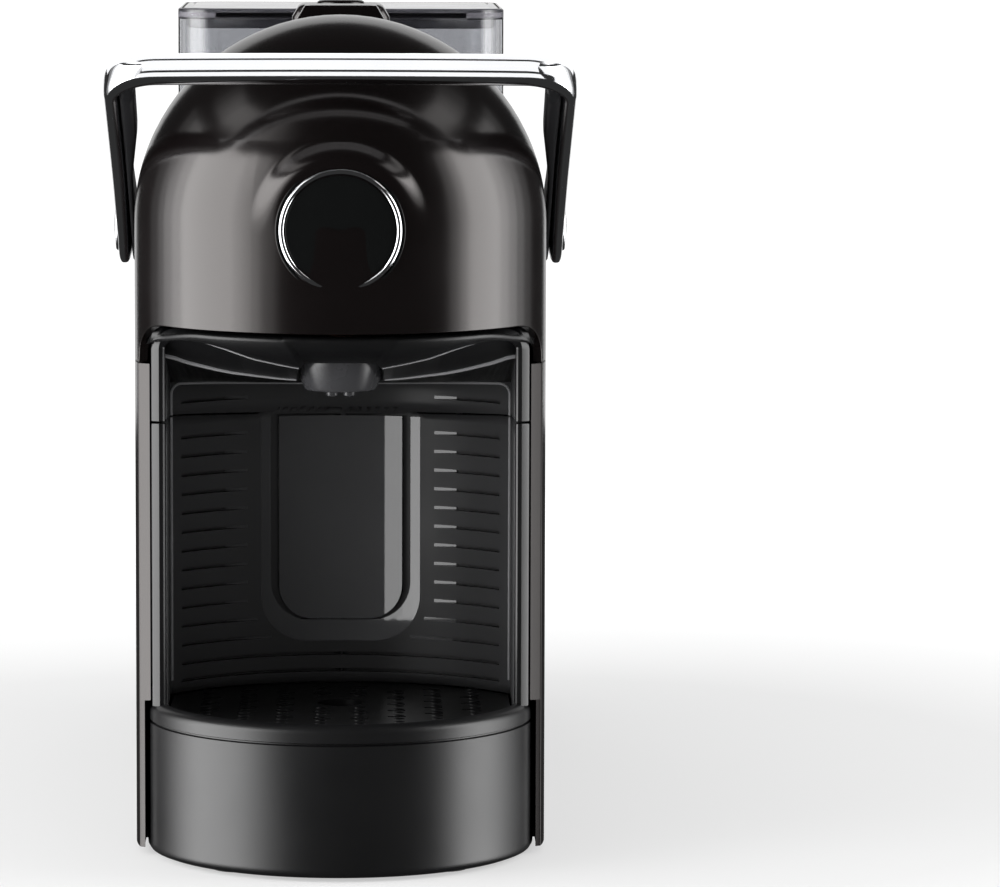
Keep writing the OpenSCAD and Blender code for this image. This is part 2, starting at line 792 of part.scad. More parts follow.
module piston_seal() color("#8c3b2a") place() difference() {
    rod_y(plunger_d - 0.5, plunger_d + 2, 0, pivot_z, piston_seal_r);
    rod_y(plunger_d - 1, plunger_d + 3, 0, pivot_z, piston_seal_r - 3);
}

module follower_pins() color("#c7c9cb") place() both_sides()
    rod_x(arm_in, cam_out - 0.2, pin_d, pivot_z, pin_r);

module capsule_hatch() color("#191512") place() difference() {
    union() {
        along_y(hatch_front, slot_end - gap) intersection() {
            translate([0, arch_z]) difference() {
                circle(r_body);
                circle(r_body - hatch_t);
            }
            translate([-hatch_x, arch_z]) square([2 * hatch_x, r_body + 1]);
        }
        difference() {
            along_y(hatch_front, hatch_front + 20) roof_trapezoid(tab_z);
            rod_y(0, body_depth, 0, arch_z, r_body);
        }
        block([-knuckle_x, slot_end - 6, roof_z - roof_drop - 2],
              [knuckle_x, hinge_d, hinge_z + 1]);
        rod_x(-knuckle_x, knuckle_x, hinge_d, hinge_z, knuckle_r);
    }
    rod_x(-20, 20, hinge_d, hinge_z, hinge_r + running);
    both_sides() block([ear_in - gap, hinge_d - ear_reach - 1.2, arch_z],
                       [pin_half + gap, slot_end + 1, roof_z + 5]);
}

module brew_button() color("#111111") place() translate([0, button_d, 0]) {
    translate([0, 0, button_low]) cylinder(r = button_r, h = button_z - button_low);
    translate([0, 0, stem_low]) cylinder(r = stem_r, h = button_low - stem_low);
}

module drawer_body() color("#262827") place() {
    translate([0, 0, foot_h - 0.5]) linear_extrude(floor_z - foot_h + 0.5) intersection() {
        difference() {
            u_plan(bucket_r, bucket_d, bucket_d + 1);
            u_plan(bucket_r - bucket_wall, bucket_d, bucket_d + 2);
        }
        translate([-r_body, 0]) square([body_w, bucket_d]);
    }
    translate([0, 0, floor_z]) linear_extrude(drawer_wall) {
        u_plan(bucket_r, bucket_d, bay_side_d);
        translate([-bin_x - 2, bay_side_d])
            square([2 * bin_x + 4, bin_front + bin_len + 3 - bay_side_d]);
    }
    translate([0, 0, floor_z]) linear_extrude(rim_z - floor_z) difference() {
        u_plan(bucket_r, bucket_d, bay_side_d);
        u_plan(bucket_r - bucket_wall, bucket_d, bay_side_d + 1);
    }
    translate([0, 0, rim_z - 2]) linear_extrude(2) intersection() {
        u_plan(bucket_r - 1, bucket_d, bay_side_d);
        both_sides() translate([bay_x, column_d])
            square([bucket_r - bay_x, bay_side_d - column_d]);
    }
    bay_walls(rim_z - 2, split_z - gap / 2);
    translate([0, 0, floor_z]) linear_extrude(rim_z - floor_z) intersection() {
        translate([0, bay_arc_d]) difference() {
            circle(bay_outer_r);
            circle(bay_arc_r);
        }
        translate([-bucket_r, bay_side_d - 6]) square([2 * bucket_r, 60]);
    }
    block([-bin_x, bin_front + bin_len + 1, floor_z],
          [bin_x, bin_front + bin_len + 3, floor_z + 14]);
}

module capsule_bin() color("#2f3030") place() difference() {
    z0 = floor_z + drawer_wall;
    translate([0, 0, z0]) linear_extrude(bin_top - z0)
        round_rect([-bin_x, bin_front], [bin_x, bin_front + bin_len], bin_corner);
    translate([0, 0, z0 + bin_wall]) linear_extrude(bin_top - z0)
        round_rect([bin_wall - bin_x, bin_front + bin_wall],
                   [bin_x - bin_wall, bin_front + bin_len - bin_wall],
                   bin_corner - bin_wall);
}

// Plan of the drip tray, drawn in by t from its outside.
module tray_plan(t) {
    intersection() {
        u_plan(tray_x - t, tray_d, tray_d + 90);
        translate([0, bay_arc_d]) circle(bay_arc_r - 0.6 - t);
    }
}

module drip_tray() color("#232423") place() difference() {
    translate([0, 0, tray_floor]) linear_extrude(tray_top - tray_floor) tray_plan(0);
    translate([0, 0, tray_floor + 1.8]) linear_extrude(tray_top) tray_plan(1.8);
}

// Depths of the rows of drain slots at the middle of the grid.
function grid_rows() = [for (d = [grid_hole_d - 5.1 * slot_pitch / 2 : slot_pitch : 120]) d];

// How far a row has curved back at distance x from the middle.
function row_bend(x) = x * x / 84;

// Places across the grid of the columns of drain slots.
function grid_columns() = [for (i = [-3.5 : 1 : 3.5]) i * (tray_x - 6) / 4];

module drip_grid() color("#1d1e1e") place() difference() {
    translate([0, 0, tray_top + gap]) linear_extrude(grid_t) tray_plan(0);
    translate([0, grid_hole_d, 0]) cylinder(r = grid_hole_r, h = rim_z);
    for (x = grid_columns())
        for (row = grid_rows())
            let (d = row + row_bend(x))
                if (norm([x, min(0, d - tray_d)]) < tray_x - 6
                    && norm([x, max(0, d - bay_arc_d)]) < bay_arc_r - 6
                    && norm([x, d - grid_hole_d]) > grid_hole_r + 5.5)
                    block([x - 2.5, d - 0.9, tray_top - 1], [x + 2.5, d + 0.9, rim_z]);
}

module tank_plan(t) {
    round_rect([t - tank_w / 2, tank_front + t], [tank_w / 2 - t, tank_back - t],
               tank_corner - t);
}

// Places along X of the lugs that carry the lid's hinge.
lug_x = tank_w / 2 - tank_corner - 9;
lug_w = 4;

module water_tank() color("#8f9699", 0.6) place() difference() {
    union() {
        difference() {
            translate([0, 0, tank_bottom])
                linear_extrude(lid_z - gap - tank_bottom) tank_plan(0);
            translate([0, 0, tank_bottom + tank_wall])
                linear_extrude(tank_top) tank_plan(tank_wall);
        }
        both_sides() block([lug_x, lid_axis_d - 1.7, lid_z - 12],
                           [lug_x + lug_w, tank_back, tank_top]);
    }
    translate([0, valve_d, tank_bottom - 1]) cylinder(r = 5, h = 6);
    rod_x(-tank_w, tank_w, lid_axis_d, lid_axis_z, 1 + running);
}

module tank_valve() color("#e0e0dc") place() translate([0, valve_d, 0]) difference() {
    union() {
        translate([0, 0, tank_bottom - 5]) cylinder(r = 5, h = 5 + tank_wall);
        translate([0, 0, tank_bottom + tank_wall]) cylinder(r = 8, h = 7);
    }
    translate([0, 0, tank_bottom - 6]) cylinder(r = 2.2, h = 30);
}

module tank_lid() color("#3c4042", 0.8) place() difference() {
    union() {
        intersection() {
            translate([0, 0, lid_z]) linear_extrude(lid_t) tank_plan(0);
            block([-tank_w, 0, 0], [tank_w, lid_axis_d, tank_top + 1]);
        }
        rod_x(tank_corner - tank_w / 2, tank_w / 2 - tank_corner,
              lid_axis_d, lid_axis_z, lid_t / 2);
        translate([0, 0, lid_z - 6.3]) linear_extrude(7) intersection() {
            difference() {
                tank_plan(tank_wall + 1);
                tank_plan(tank_wall + 2.5);
            }
            translate([-tank_w, 0]) square([2 * tank_w, tank_back - 14]);
        }
    }
    both_sides() block([lug_x - gap, lid_axis_d - 4.3, lid_z - 1],
                       [lug_x + lug_w + gap, tank_back + 1, tank_top + 1]);
    both_sides() rod_x(lug_x - 4, lug_x + lug_w + 4, lid_axis_d, lid_axis_z, 1);
    translate([0, tank_front - 2, tank_top + 6]) rotate([0, 90, 0])
        cylinder(r = 8, h = 26, center = true);
}

module lid_pins() color("#c0c2c4") place() both_sides()
    rod_x(lug_x - 4, lug_x + lug_w + 4, lid_axis_d, lid_axis_z, 1);

base_plate();
rubber_feet();
left_side_panel();
right_side_panel();
hood();
badge_disc();
badge_ring();
brew_canopy();
coffee_spout();
button_console();
button_switch();
rear_cover();
rear_screws();
tank_dock();
dock_seal();
cord_gland();
brew_frame();
frame_screws();
extraction_head();
head_seal();
outlet_tube();
slot_guide();
capsule_chute();
injector_tube();
thermoblock();
heater_terminals();
thermostat();
pump_body();
pump_mounts();
pump_bracket();
pressure_tube();
flow_meter();
feed_tube();
control_board();
lever_bushings();
hatch_pin();
lever_bail();
lever_liners();
lever_shafts();
cam_plates();
piston_carriage();
piston_seal();
follower_pins();
capsule_hatch();
brew_button();
drawer_body();
capsule_bin();
drip_tray();
drip_grid();
water_tank();
tank_valve();
tank_lid();
lid_pins();
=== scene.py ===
"""Looks of the pod coffee machine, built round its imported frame."""

import logging
from dataclasses import dataclass, field
from enum import Enum
from math import atan2, cos, degrees, hypot, inf, pi, radians, sin, sqrt, tan
from typing import Any, Callable, Iterable, Sequence

import bmesh
import bpy
from mathutils import Euler, Matrix, Vector


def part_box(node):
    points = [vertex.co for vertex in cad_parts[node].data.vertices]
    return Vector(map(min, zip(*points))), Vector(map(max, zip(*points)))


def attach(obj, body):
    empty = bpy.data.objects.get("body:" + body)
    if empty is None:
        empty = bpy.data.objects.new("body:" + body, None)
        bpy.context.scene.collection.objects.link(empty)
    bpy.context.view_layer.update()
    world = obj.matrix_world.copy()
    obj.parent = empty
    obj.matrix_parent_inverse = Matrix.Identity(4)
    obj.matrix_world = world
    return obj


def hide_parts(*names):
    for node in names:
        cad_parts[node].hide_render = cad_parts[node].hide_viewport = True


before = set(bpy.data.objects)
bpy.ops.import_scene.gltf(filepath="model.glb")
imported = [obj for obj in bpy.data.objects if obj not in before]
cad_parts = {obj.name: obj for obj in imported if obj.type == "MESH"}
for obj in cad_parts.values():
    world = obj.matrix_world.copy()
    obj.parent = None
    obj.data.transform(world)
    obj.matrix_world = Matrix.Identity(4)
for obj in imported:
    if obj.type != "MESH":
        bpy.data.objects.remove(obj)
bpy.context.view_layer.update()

log = logging.getLogger("coffee_machine")

MM = 0.001
FRONT_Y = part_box("hood")[0].y
Point = tuple[float, float, float]
Test = Callable[[Vector], bool]


def linear(code: str) -> tuple[float, float, float, float]:
    """Turn an sRGB hex colour into linear light.

    Args:
        code: six hex digits after a hash.

    Returns:
        Red, green, blue and alpha.
    """
    parts = [int(code[i:i + 2], 16) / 255 for i in (1, 3, 5)]
    red, green, blue = (p / 12.92 if p <= 0.04045 else ((p + 0.055) / 1.055) ** 2.4
                        for p in parts)
    return (red, green, blue, 1.0)


def smooth(low: float, high: float, value: float) -> float:
    """Ease from 0 to 1.

    Args:
        low: where the rise starts.
        high: where it ends.
        value: the place asked about.

    Returns:
        The share of the rise at that place.
    """
    t = min(max((value - low) / (high - low), 0.0), 1.0)
    return t * t * (3 - 2 * t)


def mix(start: float, end: float, share: float) -> float:
    """Return the number that lies a share of the way from start to end."""
    return start + (end - start) * share


def spread(start: float, end: float, count: int) -> list[float]:
    """Return count + 1 even numbers from start to end, both included."""
    return [mix(start, end, i / count) for i in range(count + 1)]


def add_node(tree: bpy.types.NodeTree, kind: str, settings: dict[str, Any],
             links: dict[Any, tuple[bpy.types.Node, Any]]) -> bpy.types.Node:
    """Add a node with its settings and its incoming links.

    Args:
        tree: the node tree it joins.
        kind: the node's type name.
        settings: attributes by name, and socket values by "in:" and the socket.
        links: socket of the new node to a node and that node's output.

    Returns:
        The new node.
    """
    node = tree.nodes.new(kind)
    for key, value in settings.items():
        if key.startswith("in:"):
            name = key[3:]
            node.inputs[int(name) if name.isdigit() else name].default_value = value
        else:
            setattr(node, key, value)
    for key, (source, output) in links.items():
        tree.links.new(source.outputs[output], node.inputs[key])
    return node


def verts_of(geom: Iterable[Any]) -> list[bmesh.types.BMVert]:
    """Return the vertices among some geometry."""
    return [g for g in geom if isinstance(g, bmesh.types.BMVert)]


def line_of(verts: Sequence[bmesh.types.BMVert]) -> list[Any]:
    """Return vertices together with the edges that join them."""
    return list(verts) + list({e for v in verts for e in v.link_edges})


def give_wall(piece: bpy.types.Object, thick: float) -> None:
    """Give a skin a wall behind it, so many millimetres thick."""
    wall = piece.modifiers.new("wall", "SOLIDIFY")
    wall.thickness, wall.offset = thick * MM, -1.0


def area_light(name: str, size: tuple[float, float], glow: float,
               place: Sequence[float], away: Vector) -> bpy.types.Object:
    """Stand a rectangular light that only reflections and surfaces see.

    Args:
        name: the light's name.
        size: its width and height.
        glow: its radiance.
        place: where it stands.
        away: the direction from what it lights to the light.

    Returns:
        The light's object.
    """
    data = bpy.data.lights.new(name, "AREA")
    data.shape = "RECTANGLE"
    data.size, data.size_y = size
    data.energy = glow * pi * size[0] * size[1]
    light = bpy.data.objects.new(name, data)
    bpy.context.scene.collection.objects.link(light)
    light.location = place
    light.rotation_euler = away.to_track_quat("Z", "Y").to_euler()
    light.visible_camera = False
    return light


def receivers(name: str, pieces: Sequence[str]) -> bpy.types.Collection:
    """Collect the pieces that a light is kept for."""
    group = bpy.data.collections.new(name)
    for piece in pieces:
        group.objects.link(bpy.data.objects[piece])
    return group


class Grain(Enum):
    """How the fine relief of a surface was made."""

    CLOUD = "soft unevenness of a polished moulding"
    SPARK = "spark-eroded texture of a moulding tool"
    BRUSHED = "fine lines of drawn or brushed metal"


@dataclass(frozen=True)
class Finish:
    """A real material and how its surface was made."""

    name: str
    slot: str
    light: str
    dark: str
    rough: tuple[float, float]
    metallic: float = 0.0
    ior: float = 1.5
    grain: Grain = Grain.CLOUD
    grain_mm: float = 12.0
    grain_depth_mm: float = 0.01
    cloud_mm: float = 26.0
    coat: float = 0.0
    clear: float = 0.0
    tint: str = "#ffffff"
    gleam: float = 0.5

    def material(self) -> bpy.types.Material:
        """Return the material, made the first time it is asked for."""
        made = bpy.data.materials.get(self.name)
        return made if made else self.make()

    def make(self) -> bpy.types.Material:
        """Build the node material.

        Returns:
            A material with clouded colour, clouded roughness and relief.
        """
        material = bpy.data.materials.new(self.name)
        material.use_nodes = True
        tree = material.node_tree
        tree.nodes.clear()
        place = add_node(tree, "ShaderNodeTexCoord", {}, {})
        cloud = add_node(tree, "ShaderNodeTexNoise",
                         {"in:Scale": 1 / (self.cloud_mm * MM), "in:Detail": 4.0,
                          "in:Roughness": 0.55}, {"Vector": (place, "Object")})
        colour = add_node(tree, "ShaderNodeMix",
                          {"data_type": "RGBA", "in:6": linear(self.dark),
                           "in:7": linear(self.light)}, {0: (cloud, 0)})
        rough = add_node(tree, "ShaderNodeMapRange",
                         {"in:From Min": 0.3, "in:From Max": 0.7,
                          "in:To Min": self.rough[0], "in:To Max": self.rough[1]},
                         {"Value": (cloud, 0)})
        stretch = (0.04 if self.grain is Grain.BRUSHED else 1.0, 1.0, 1.0)
        turn = add_node(tree, "ShaderNodeMapping", {"in:Scale": stretch},
                        {"Vector": (place, "Object")})
        relief = add_node(tree, "ShaderNodeTexNoise",
                          {"in:Scale": 1 / (self.grain_mm * MM),
                           "in:Detail": 1.0 if self.grain is Grain.CLOUD else 3.0},
                          {"Vector": (turn, 0)})
        bump = add_node(tree, "ShaderNodeBump",
                        {"in:Strength": 1.0, "in:Distance": self.grain_depth_mm * MM},
                        {"Height": (relief, 0)})
        shader = add_node(tree, "ShaderNodeBsdfPrincipled",
                          {"in:Metallic": self.metallic, "in:IOR": self.ior,
                           "in:Transmission Weight": self.clear,
                           "in:Coat Weight": self.coat, "in:Coat Roughness": 0.05,
                           "in:Specular IOR Level": self.gleam,
                           "in:Specular Tint": linear(self.tint)},
                          {"Base Color": (colour, 2), "Roughness": (rough, 0),
                           "Normal": (bump, 0)})
        add_node(tree, "ShaderNodeOutputMaterial", {}, {"Surface": (shader, 0)})
        return material


# Polished ABS, injection moulded: near black, with clean mirror-like reflections.
GLOSS_BLACK = Finish("abs_gloss_black", "gloss_shell", "#0c0909", "#070505",
                     (0.15, 0.19), grain_depth_mm=0.004, grain_mm=30.0,
                     tint="#fffaf8")
# The same ABS from a finer stoned tool: reflections spread into soft bands.
SATIN_BLACK = Finish("abs_satin_black", "satin_shell", "#101011", "#0b0b0c",
                     (0.31, 0.36), grain=Grain.SPARK, grain_mm=0.9,
                     grain_depth_mm=0.007, gleam=0.46)
# Spark-textured ABS of the cup bay: a dark matt grey with a dull sheen.
BAY_GREY = Finish("abs_textured_charcoal", "bay_plastic", "#3a3a3b", "#323233",
                  (0.34, 0.42), grain=Grain.SPARK, grain_mm=0.9, grain_depth_mm=0.008)
# The ceiling over the cup: the same textured plastic as the wall, darkened to a deeper
# black as painted shade that offsets the light bounced up on to it.
BAY_SHADED_BLACK = Finish("abs_textured_painted_shade", "bay_plastic", "#0e0e0f", "#0a0a0b",
                   (0.34, 0.42), grain=Grain.SPARK, grain_mm=0.9,
                   grain_depth_mm=0.008, gleam=0.35)
# The edge beads of the bay: a light grey that paints the highlights their edges catch,
# lighter than the faces beside them.
BEAD_HIGHLIGHT_GREY = Finish("abs_painted_highlight_grey", "bay_plastic", "#8a8a8c", "#6f6f71",
                   (0.3, 0.4), grain=Grain.SPARK, grain_mm=0.9, grain_depth_mm=0.005)
# Satin ABS of the spout, a step lighter than the bay round it.
SPOUT_GREY = Finish("abs_satin_graphite", "bay_plastic", "#3a3a3c", "#2e2e30",
                    (0.24, 0.31), grain=Grain.SPARK, grain_mm=0.9, grain_depth_mm=0.005)
# Polished ABS of the tongue and the slot floors: charcoal with crisp reflections.
BAY_POLISHED = Finish("abs_polished_charcoal", "bay_plastic", "#434344", "#3b3b3c",
                      (0.03, 0.05), grain_depth_mm=0.001, grain_mm=24.0)
# Lacquered black disc behind the badge ring: deep gloss.
BADGE_BLACK = Finish("lacquer_black", "badge_black", "#0b0c0c", "#070808",
                     (0.06, 0.1), coat=0.5, grain_depth_mm=0.002, grain_mm=20.0)
# Chromed zinc casting: bright mirror with a faint unevenness.
CHROME = Finish("chromed_zinc", "bright_chrome", "#e6e7e9", "#d9dadd",
                (0.06, 0.11), metallic=1.0, grain_depth_mm=0.003, grain_mm=18.0)
# Stainless steel for pins, shafts and screws: grey, finely brushed.
STEEL = Finish("brushed_stainless", "satin_steel", "#b4b5b7", "#9c9da0",
               (0.24, 0.34), metallic=1.0, grain=Grain.BRUSHED, grain_mm=0.5,
               grain_depth_mm=0.004)
# Nylon liner inside the lever's arms: plain black, half matt.
LINER = Finish("nylon_black", "liner_black", "#18181a", "#111113", (0.38, 0.46),
               grain=Grain.SPARK, grain_mm=0.8, grain_depth_mm=0.006)
# Soft rubber of the feet and seals: matt, a little dusty.
RUBBER = Finish("rubber_dark", "foot_rubber", "#2a2a2b", "#1f1f20", (0.7, 0.85),
                grain=Grain.SPARK, grain_mm=0.6, grain_depth_mm=0.012)
# Silicone for the hot water tubes and seals: red, slightly waxy.
SILICONE = Finish("silicone_red", "silicone_red", "#a33a30", "#8d2f27", (0.42, 0.52),
                  grain=Grain.SPARK, grain_mm=1.0, grain_depth_mm=0.005, coat=0.1)
# Polycarbonate water tank: clear, very lightly grey.
CLEAR = Finish("polycarbonate_clear", "clear_tank", "#aeafb2", "#a6a7aa", (0.04, 0.07),
               ior=1.586, clear=1.0, grain_depth_mm=0.003, grain_mm=24.0)
# Polycarbonate lid tinted smoke grey with a violet cast.
SMOKE = Finish("polycarbonate_smoke", "smoke_lid", "#9c9aa1", "#929097", (0.06, 0.1),
               ior=1.586, clear=0.4, grain_depth_mm=0.003, grain_mm=24.0)
# Acetal for the bin, bushings and fittings: off-white and waxy.
ACETAL = Finish("acetal_white", "white_pom", "#e4e2da", "#d8d6cd", (0.36, 0.46),
                grain=Grain.SPARK, grain_mm=1.2, grain_depth_mm=0.006, coat=0.1)
# Die-cast aluminium of the boiler and frame: dull, sandy skin.
CAST = Finish("cast_aluminium", "cast_alloy", "#9b9c9e", "#86878a", (0.4, 0.55),
              metallic=1.0, grain=Grain.SPARK, grain_mm=1.4, grain_depth_mm=0.03)
# Rolled brass of the terminals: warm, brushed.
BRASS = Finish("rolled_brass", "brass_plate", "#c9a55a", "#b18f4a", (0.26, 0.36),
               metallic=1.0, grain=Grain.BRUSHED, grain_mm=0.6, grain_depth_mm=0.004)
# Varnished winding of the pump: deep amber brown, shiny.
VARNISH = Finish("coil_varnish", "coil_varnish", "#7a4a22", "#5f3818", (0.22, 0.3),
                 grain=Grain.BRUSHED, grain_mm=0.7, grain_depth_mm=0.03, coat=0.4)
# Epoxy board with its green solder mask: smooth, half gloss.
BOARD = Finish("epoxy_board_green", "board_green", "#2d6b45", "#235638", (0.3, 0.4),
               grain=Grain.SPARK, grain_mm=1.6, grain_depth_mm=0.01, coat=0.2)


class Shaper:
    """A mesh being shaped, in millimetres: x across, y into the depth, z up."""

    def __init__(self) -> None:
        """Start with nothing on the bench."""
        self.bm = bmesh.new()

    def path(self, points: Iterable[Point], closed: bool = False
             ) -> list[bmesh.types.BMVert]:
        """Lay a line of vertices joined by edges.

        Args:
            points: the places in order.
            closed: whether the last joins the first.

        Returns:
            The vertices in order.
        """
        verts = [self.bm.verts.new(p) for p in points]
        ends = verts[1:] + verts[:1] if closed else verts[1:]
        for a, b in zip(verts, ends):
            self.bm.edges.new((a, b))
        return verts

    def step(self, row: list[bmesh.types.BMVert], places: Sequence[Point]
             ) -> list[bmesh.types.BMVert]:
        """Extrude a row of vertices and set the new row down elsewhere.

        Args:
            row: the row to extrude.
            places: where the new row's vertices go.

        Returns:
            The new row.
        """
        members = set(row)
        edges = {e for v in row for e in v.link_edges if e.other_vert(v) in members}
        geom = bmesh.ops.extrude_edge_only(self.bm, edges=list(edges))["geom"]
        fresh = set(verts_of(geom))
        new = [next(e.other_vert(v) for e in v.link_edges if e.other_vert(v) in fresh)
               for v in row]
        for vert, place in zip(new, places):
            vert.co = place
        return new

    def run(self, rings: Sequence[Sequence[Point]], closed: bool = False
            ) -> tuple[list[bmesh.types.BMVert], list[bmesh.types.BMVert]]:
        """Skin a run of rings with the same number of points.

        Args:
            rings: the rings in order.
            closed: whether each ring is closed.

        Returns:
            The vertices of the first and of the last ring.
        """
        first = row = self.path(rings[0], closed)
        for ring in rings[1:]:
            row = self.step(row, ring)
        return first, row

    def loft(self, rings: Sequence[Sequence[Point]]) -> None:
        """Skin a run of closed rings and cap both ends."""
        for end in self.run(rings, closed=True):
            self.bm.faces.new(end)

    def tube(self, points: Sequence[Point], thick: Sequence[float], count: int = 8
             ) -> None:
        """Run a round bead along a line.

        Args:
            points: the line's points.
            thick: the bead's thickness at each point.
            count: how many corners its section has.
        """
        line = [Vector(p) for p in points]
        rings = []
        for i, point in enumerate(line):
            ahead = line[min(i + 1, len(line) - 1)] - line[max(i - 1, 0)]
            side = ahead.cross(Vector((0, 1, 0))).normalized()
            up = side.cross(ahead).normalized()
            rings.append([tuple(point + side * a + up * b)
                          for a, b in section(thick[i], thick[i], 2.0, count)])
        self.loft(rings)

    def spin(self, geom: list[Any], centre: Point, axis: Point, turn: float,
             steps: int) -> list[Any]:
        """Turn geometry about an axis and keep its trail.

        Args:
            geom: vertices and edges to turn.
            centre: a point on the axis.
            axis: the axis.
            turn: the angle in degrees.
            steps: how many steps it takes.

        Returns:
            The geometry of the last step.
        """
        return bmesh.ops.spin(self.bm, geom=geom, cent=centre, axis=axis,
                              angle=radians(turn), steps=steps, use_merge=False,
                              use_duplicate=False)["geom_last"]

    def revolve(self, profile: Sequence[Point], centre: Point, axis: Point,
                steps: int = 64) -> None:
        """Turn a profile all the way round an axis.

        Args:
            profile: the profile's points.
            centre: a point on the axis.
            axis: the axis.
            steps: how many steps the turn takes.
        """
        bmesh.ops.spin(self.bm, geom=line_of(self.path(profile)), cent=centre,
                       axis=axis, angle=2 * pi, steps=steps, use_merge=True,
                       use_duplicate=False)

    def mirror(self) -> None:
        """Repeat everything on the other side of x = 0 and join the halves."""
        bmesh.ops.mirror(self.bm, geom=self.bm.verts[:] + self.bm.edges[:]
                         + self.bm.faces[:], matrix=Matrix.Identity(4),
                         merge_dist=0.01, axis="X")

    def tidy(self) -> None:
        """Merge doubles and turn every face outwards."""
        bmesh.ops.remove_doubles(self.bm, verts=self.bm.verts, dist=0.004)
        bmesh.ops.dissolve_degenerate(self.bm, dist=0.001, edges=self.bm.edges)
        bmesh.ops.recalc_face_normals(self.bm, faces=self.bm.faces)

    def face_away(self, axis: int) -> None:
        """Turn the skin over where it faces up the axis with that number."""
        if sum(f.normal[axis] for f in self.bm.faces) > 0:
            bmesh.ops.reverse_faces(self.bm, faces=self.bm.faces)

    def bevel(self, width: float, segments: int = 3, over: float = 40.0,
              where: Test | None = None) -> None:
        """Round the sharp edges.

        Args:
            width: the bevel's width.
            segments: its number of segments.
            over: the least angle of an edge that is rounded.
            where: an extra test of the edge's middle.
        """
        edges = []
        for edge in self.bm.edges:
            if len(edge.link_faces) != 2:
                continue
            middle = (edge.verts[0].co + edge.verts[1].co) / 2
            if degrees(edge.calc_face_angle(0.0)) > over and (
                    where is None or where(middle)):
                edges.append(edge)
        bmesh.ops.bevel(self.bm, geom=edges, offset=width, offset_type="OFFSET",
                        segments=segments, profile=0.5, affect="EDGES", material=-1,
                        clamp_overlap=True)

    def finish(self, name: str, finish: Finish, body: str,
               stands_for: Sequence[str] = (), sharp: float = 32.0
               ) -> bpy.types.Object:
        """Make the mesh an object in the frame and dress it.

        Args:
            name: the piece's name.
            finish: its finish.
            body: the body it rides on.
            stands_for: the CAD nodes it replaces.
            sharp: the angle in degrees past which an edge is drawn sharp.

        Returns:
            The new object.
        """
        bmesh.ops.scale(self.bm, vec=(MM, MM, MM), verts=self.bm.verts)
        bmesh.ops.translate(self.bm, vec=(0, FRONT_Y, 0), verts=self.bm.verts)
        mesh = bpy.data.meshes.new(name)
        self.bm.to_mesh(mesh)
        self.bm.free()
        mesh.shade_smooth()
        mesh.set_sharp_from_angle(angle=radians(sharp))
        mesh.materials.append(finish.material())
        piece = bpy.data.objects.new(name, mesh)
        bpy.context.scene.collection.objects.link(piece)
        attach(piece, body)
        if stands_for:
            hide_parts(*stands_for)
        shade = piece.modifiers.new("flat_faces", "WEIGHTED_NORMAL")
        shade.keep_sharp = True
        log.info("%s: %d faces on %s", name, len(mesh.polygons), body)
        return piece


def section(wide: float, high: float, power: float, count: int = 28
            ) -> list[tuple[float, float]]:
    """Return the points of a rounded section.

    Args:
        wide: its width.
        high: its height.
        power: 2 for an ellipse, more for squarer corners.
        count: how many points.

    Returns:
        Pairs across and up, about the section's middle.
    """
    points = []
    for i in range(count):
        a = 2 * pi * i / count
        c, s = cos(a), sin(a)
        reach = (abs(c) ** power + abs(s) ** power) ** (-1 / power)
        points.append((wide / 2 * reach * c, high / 2 * reach * s))
    return points


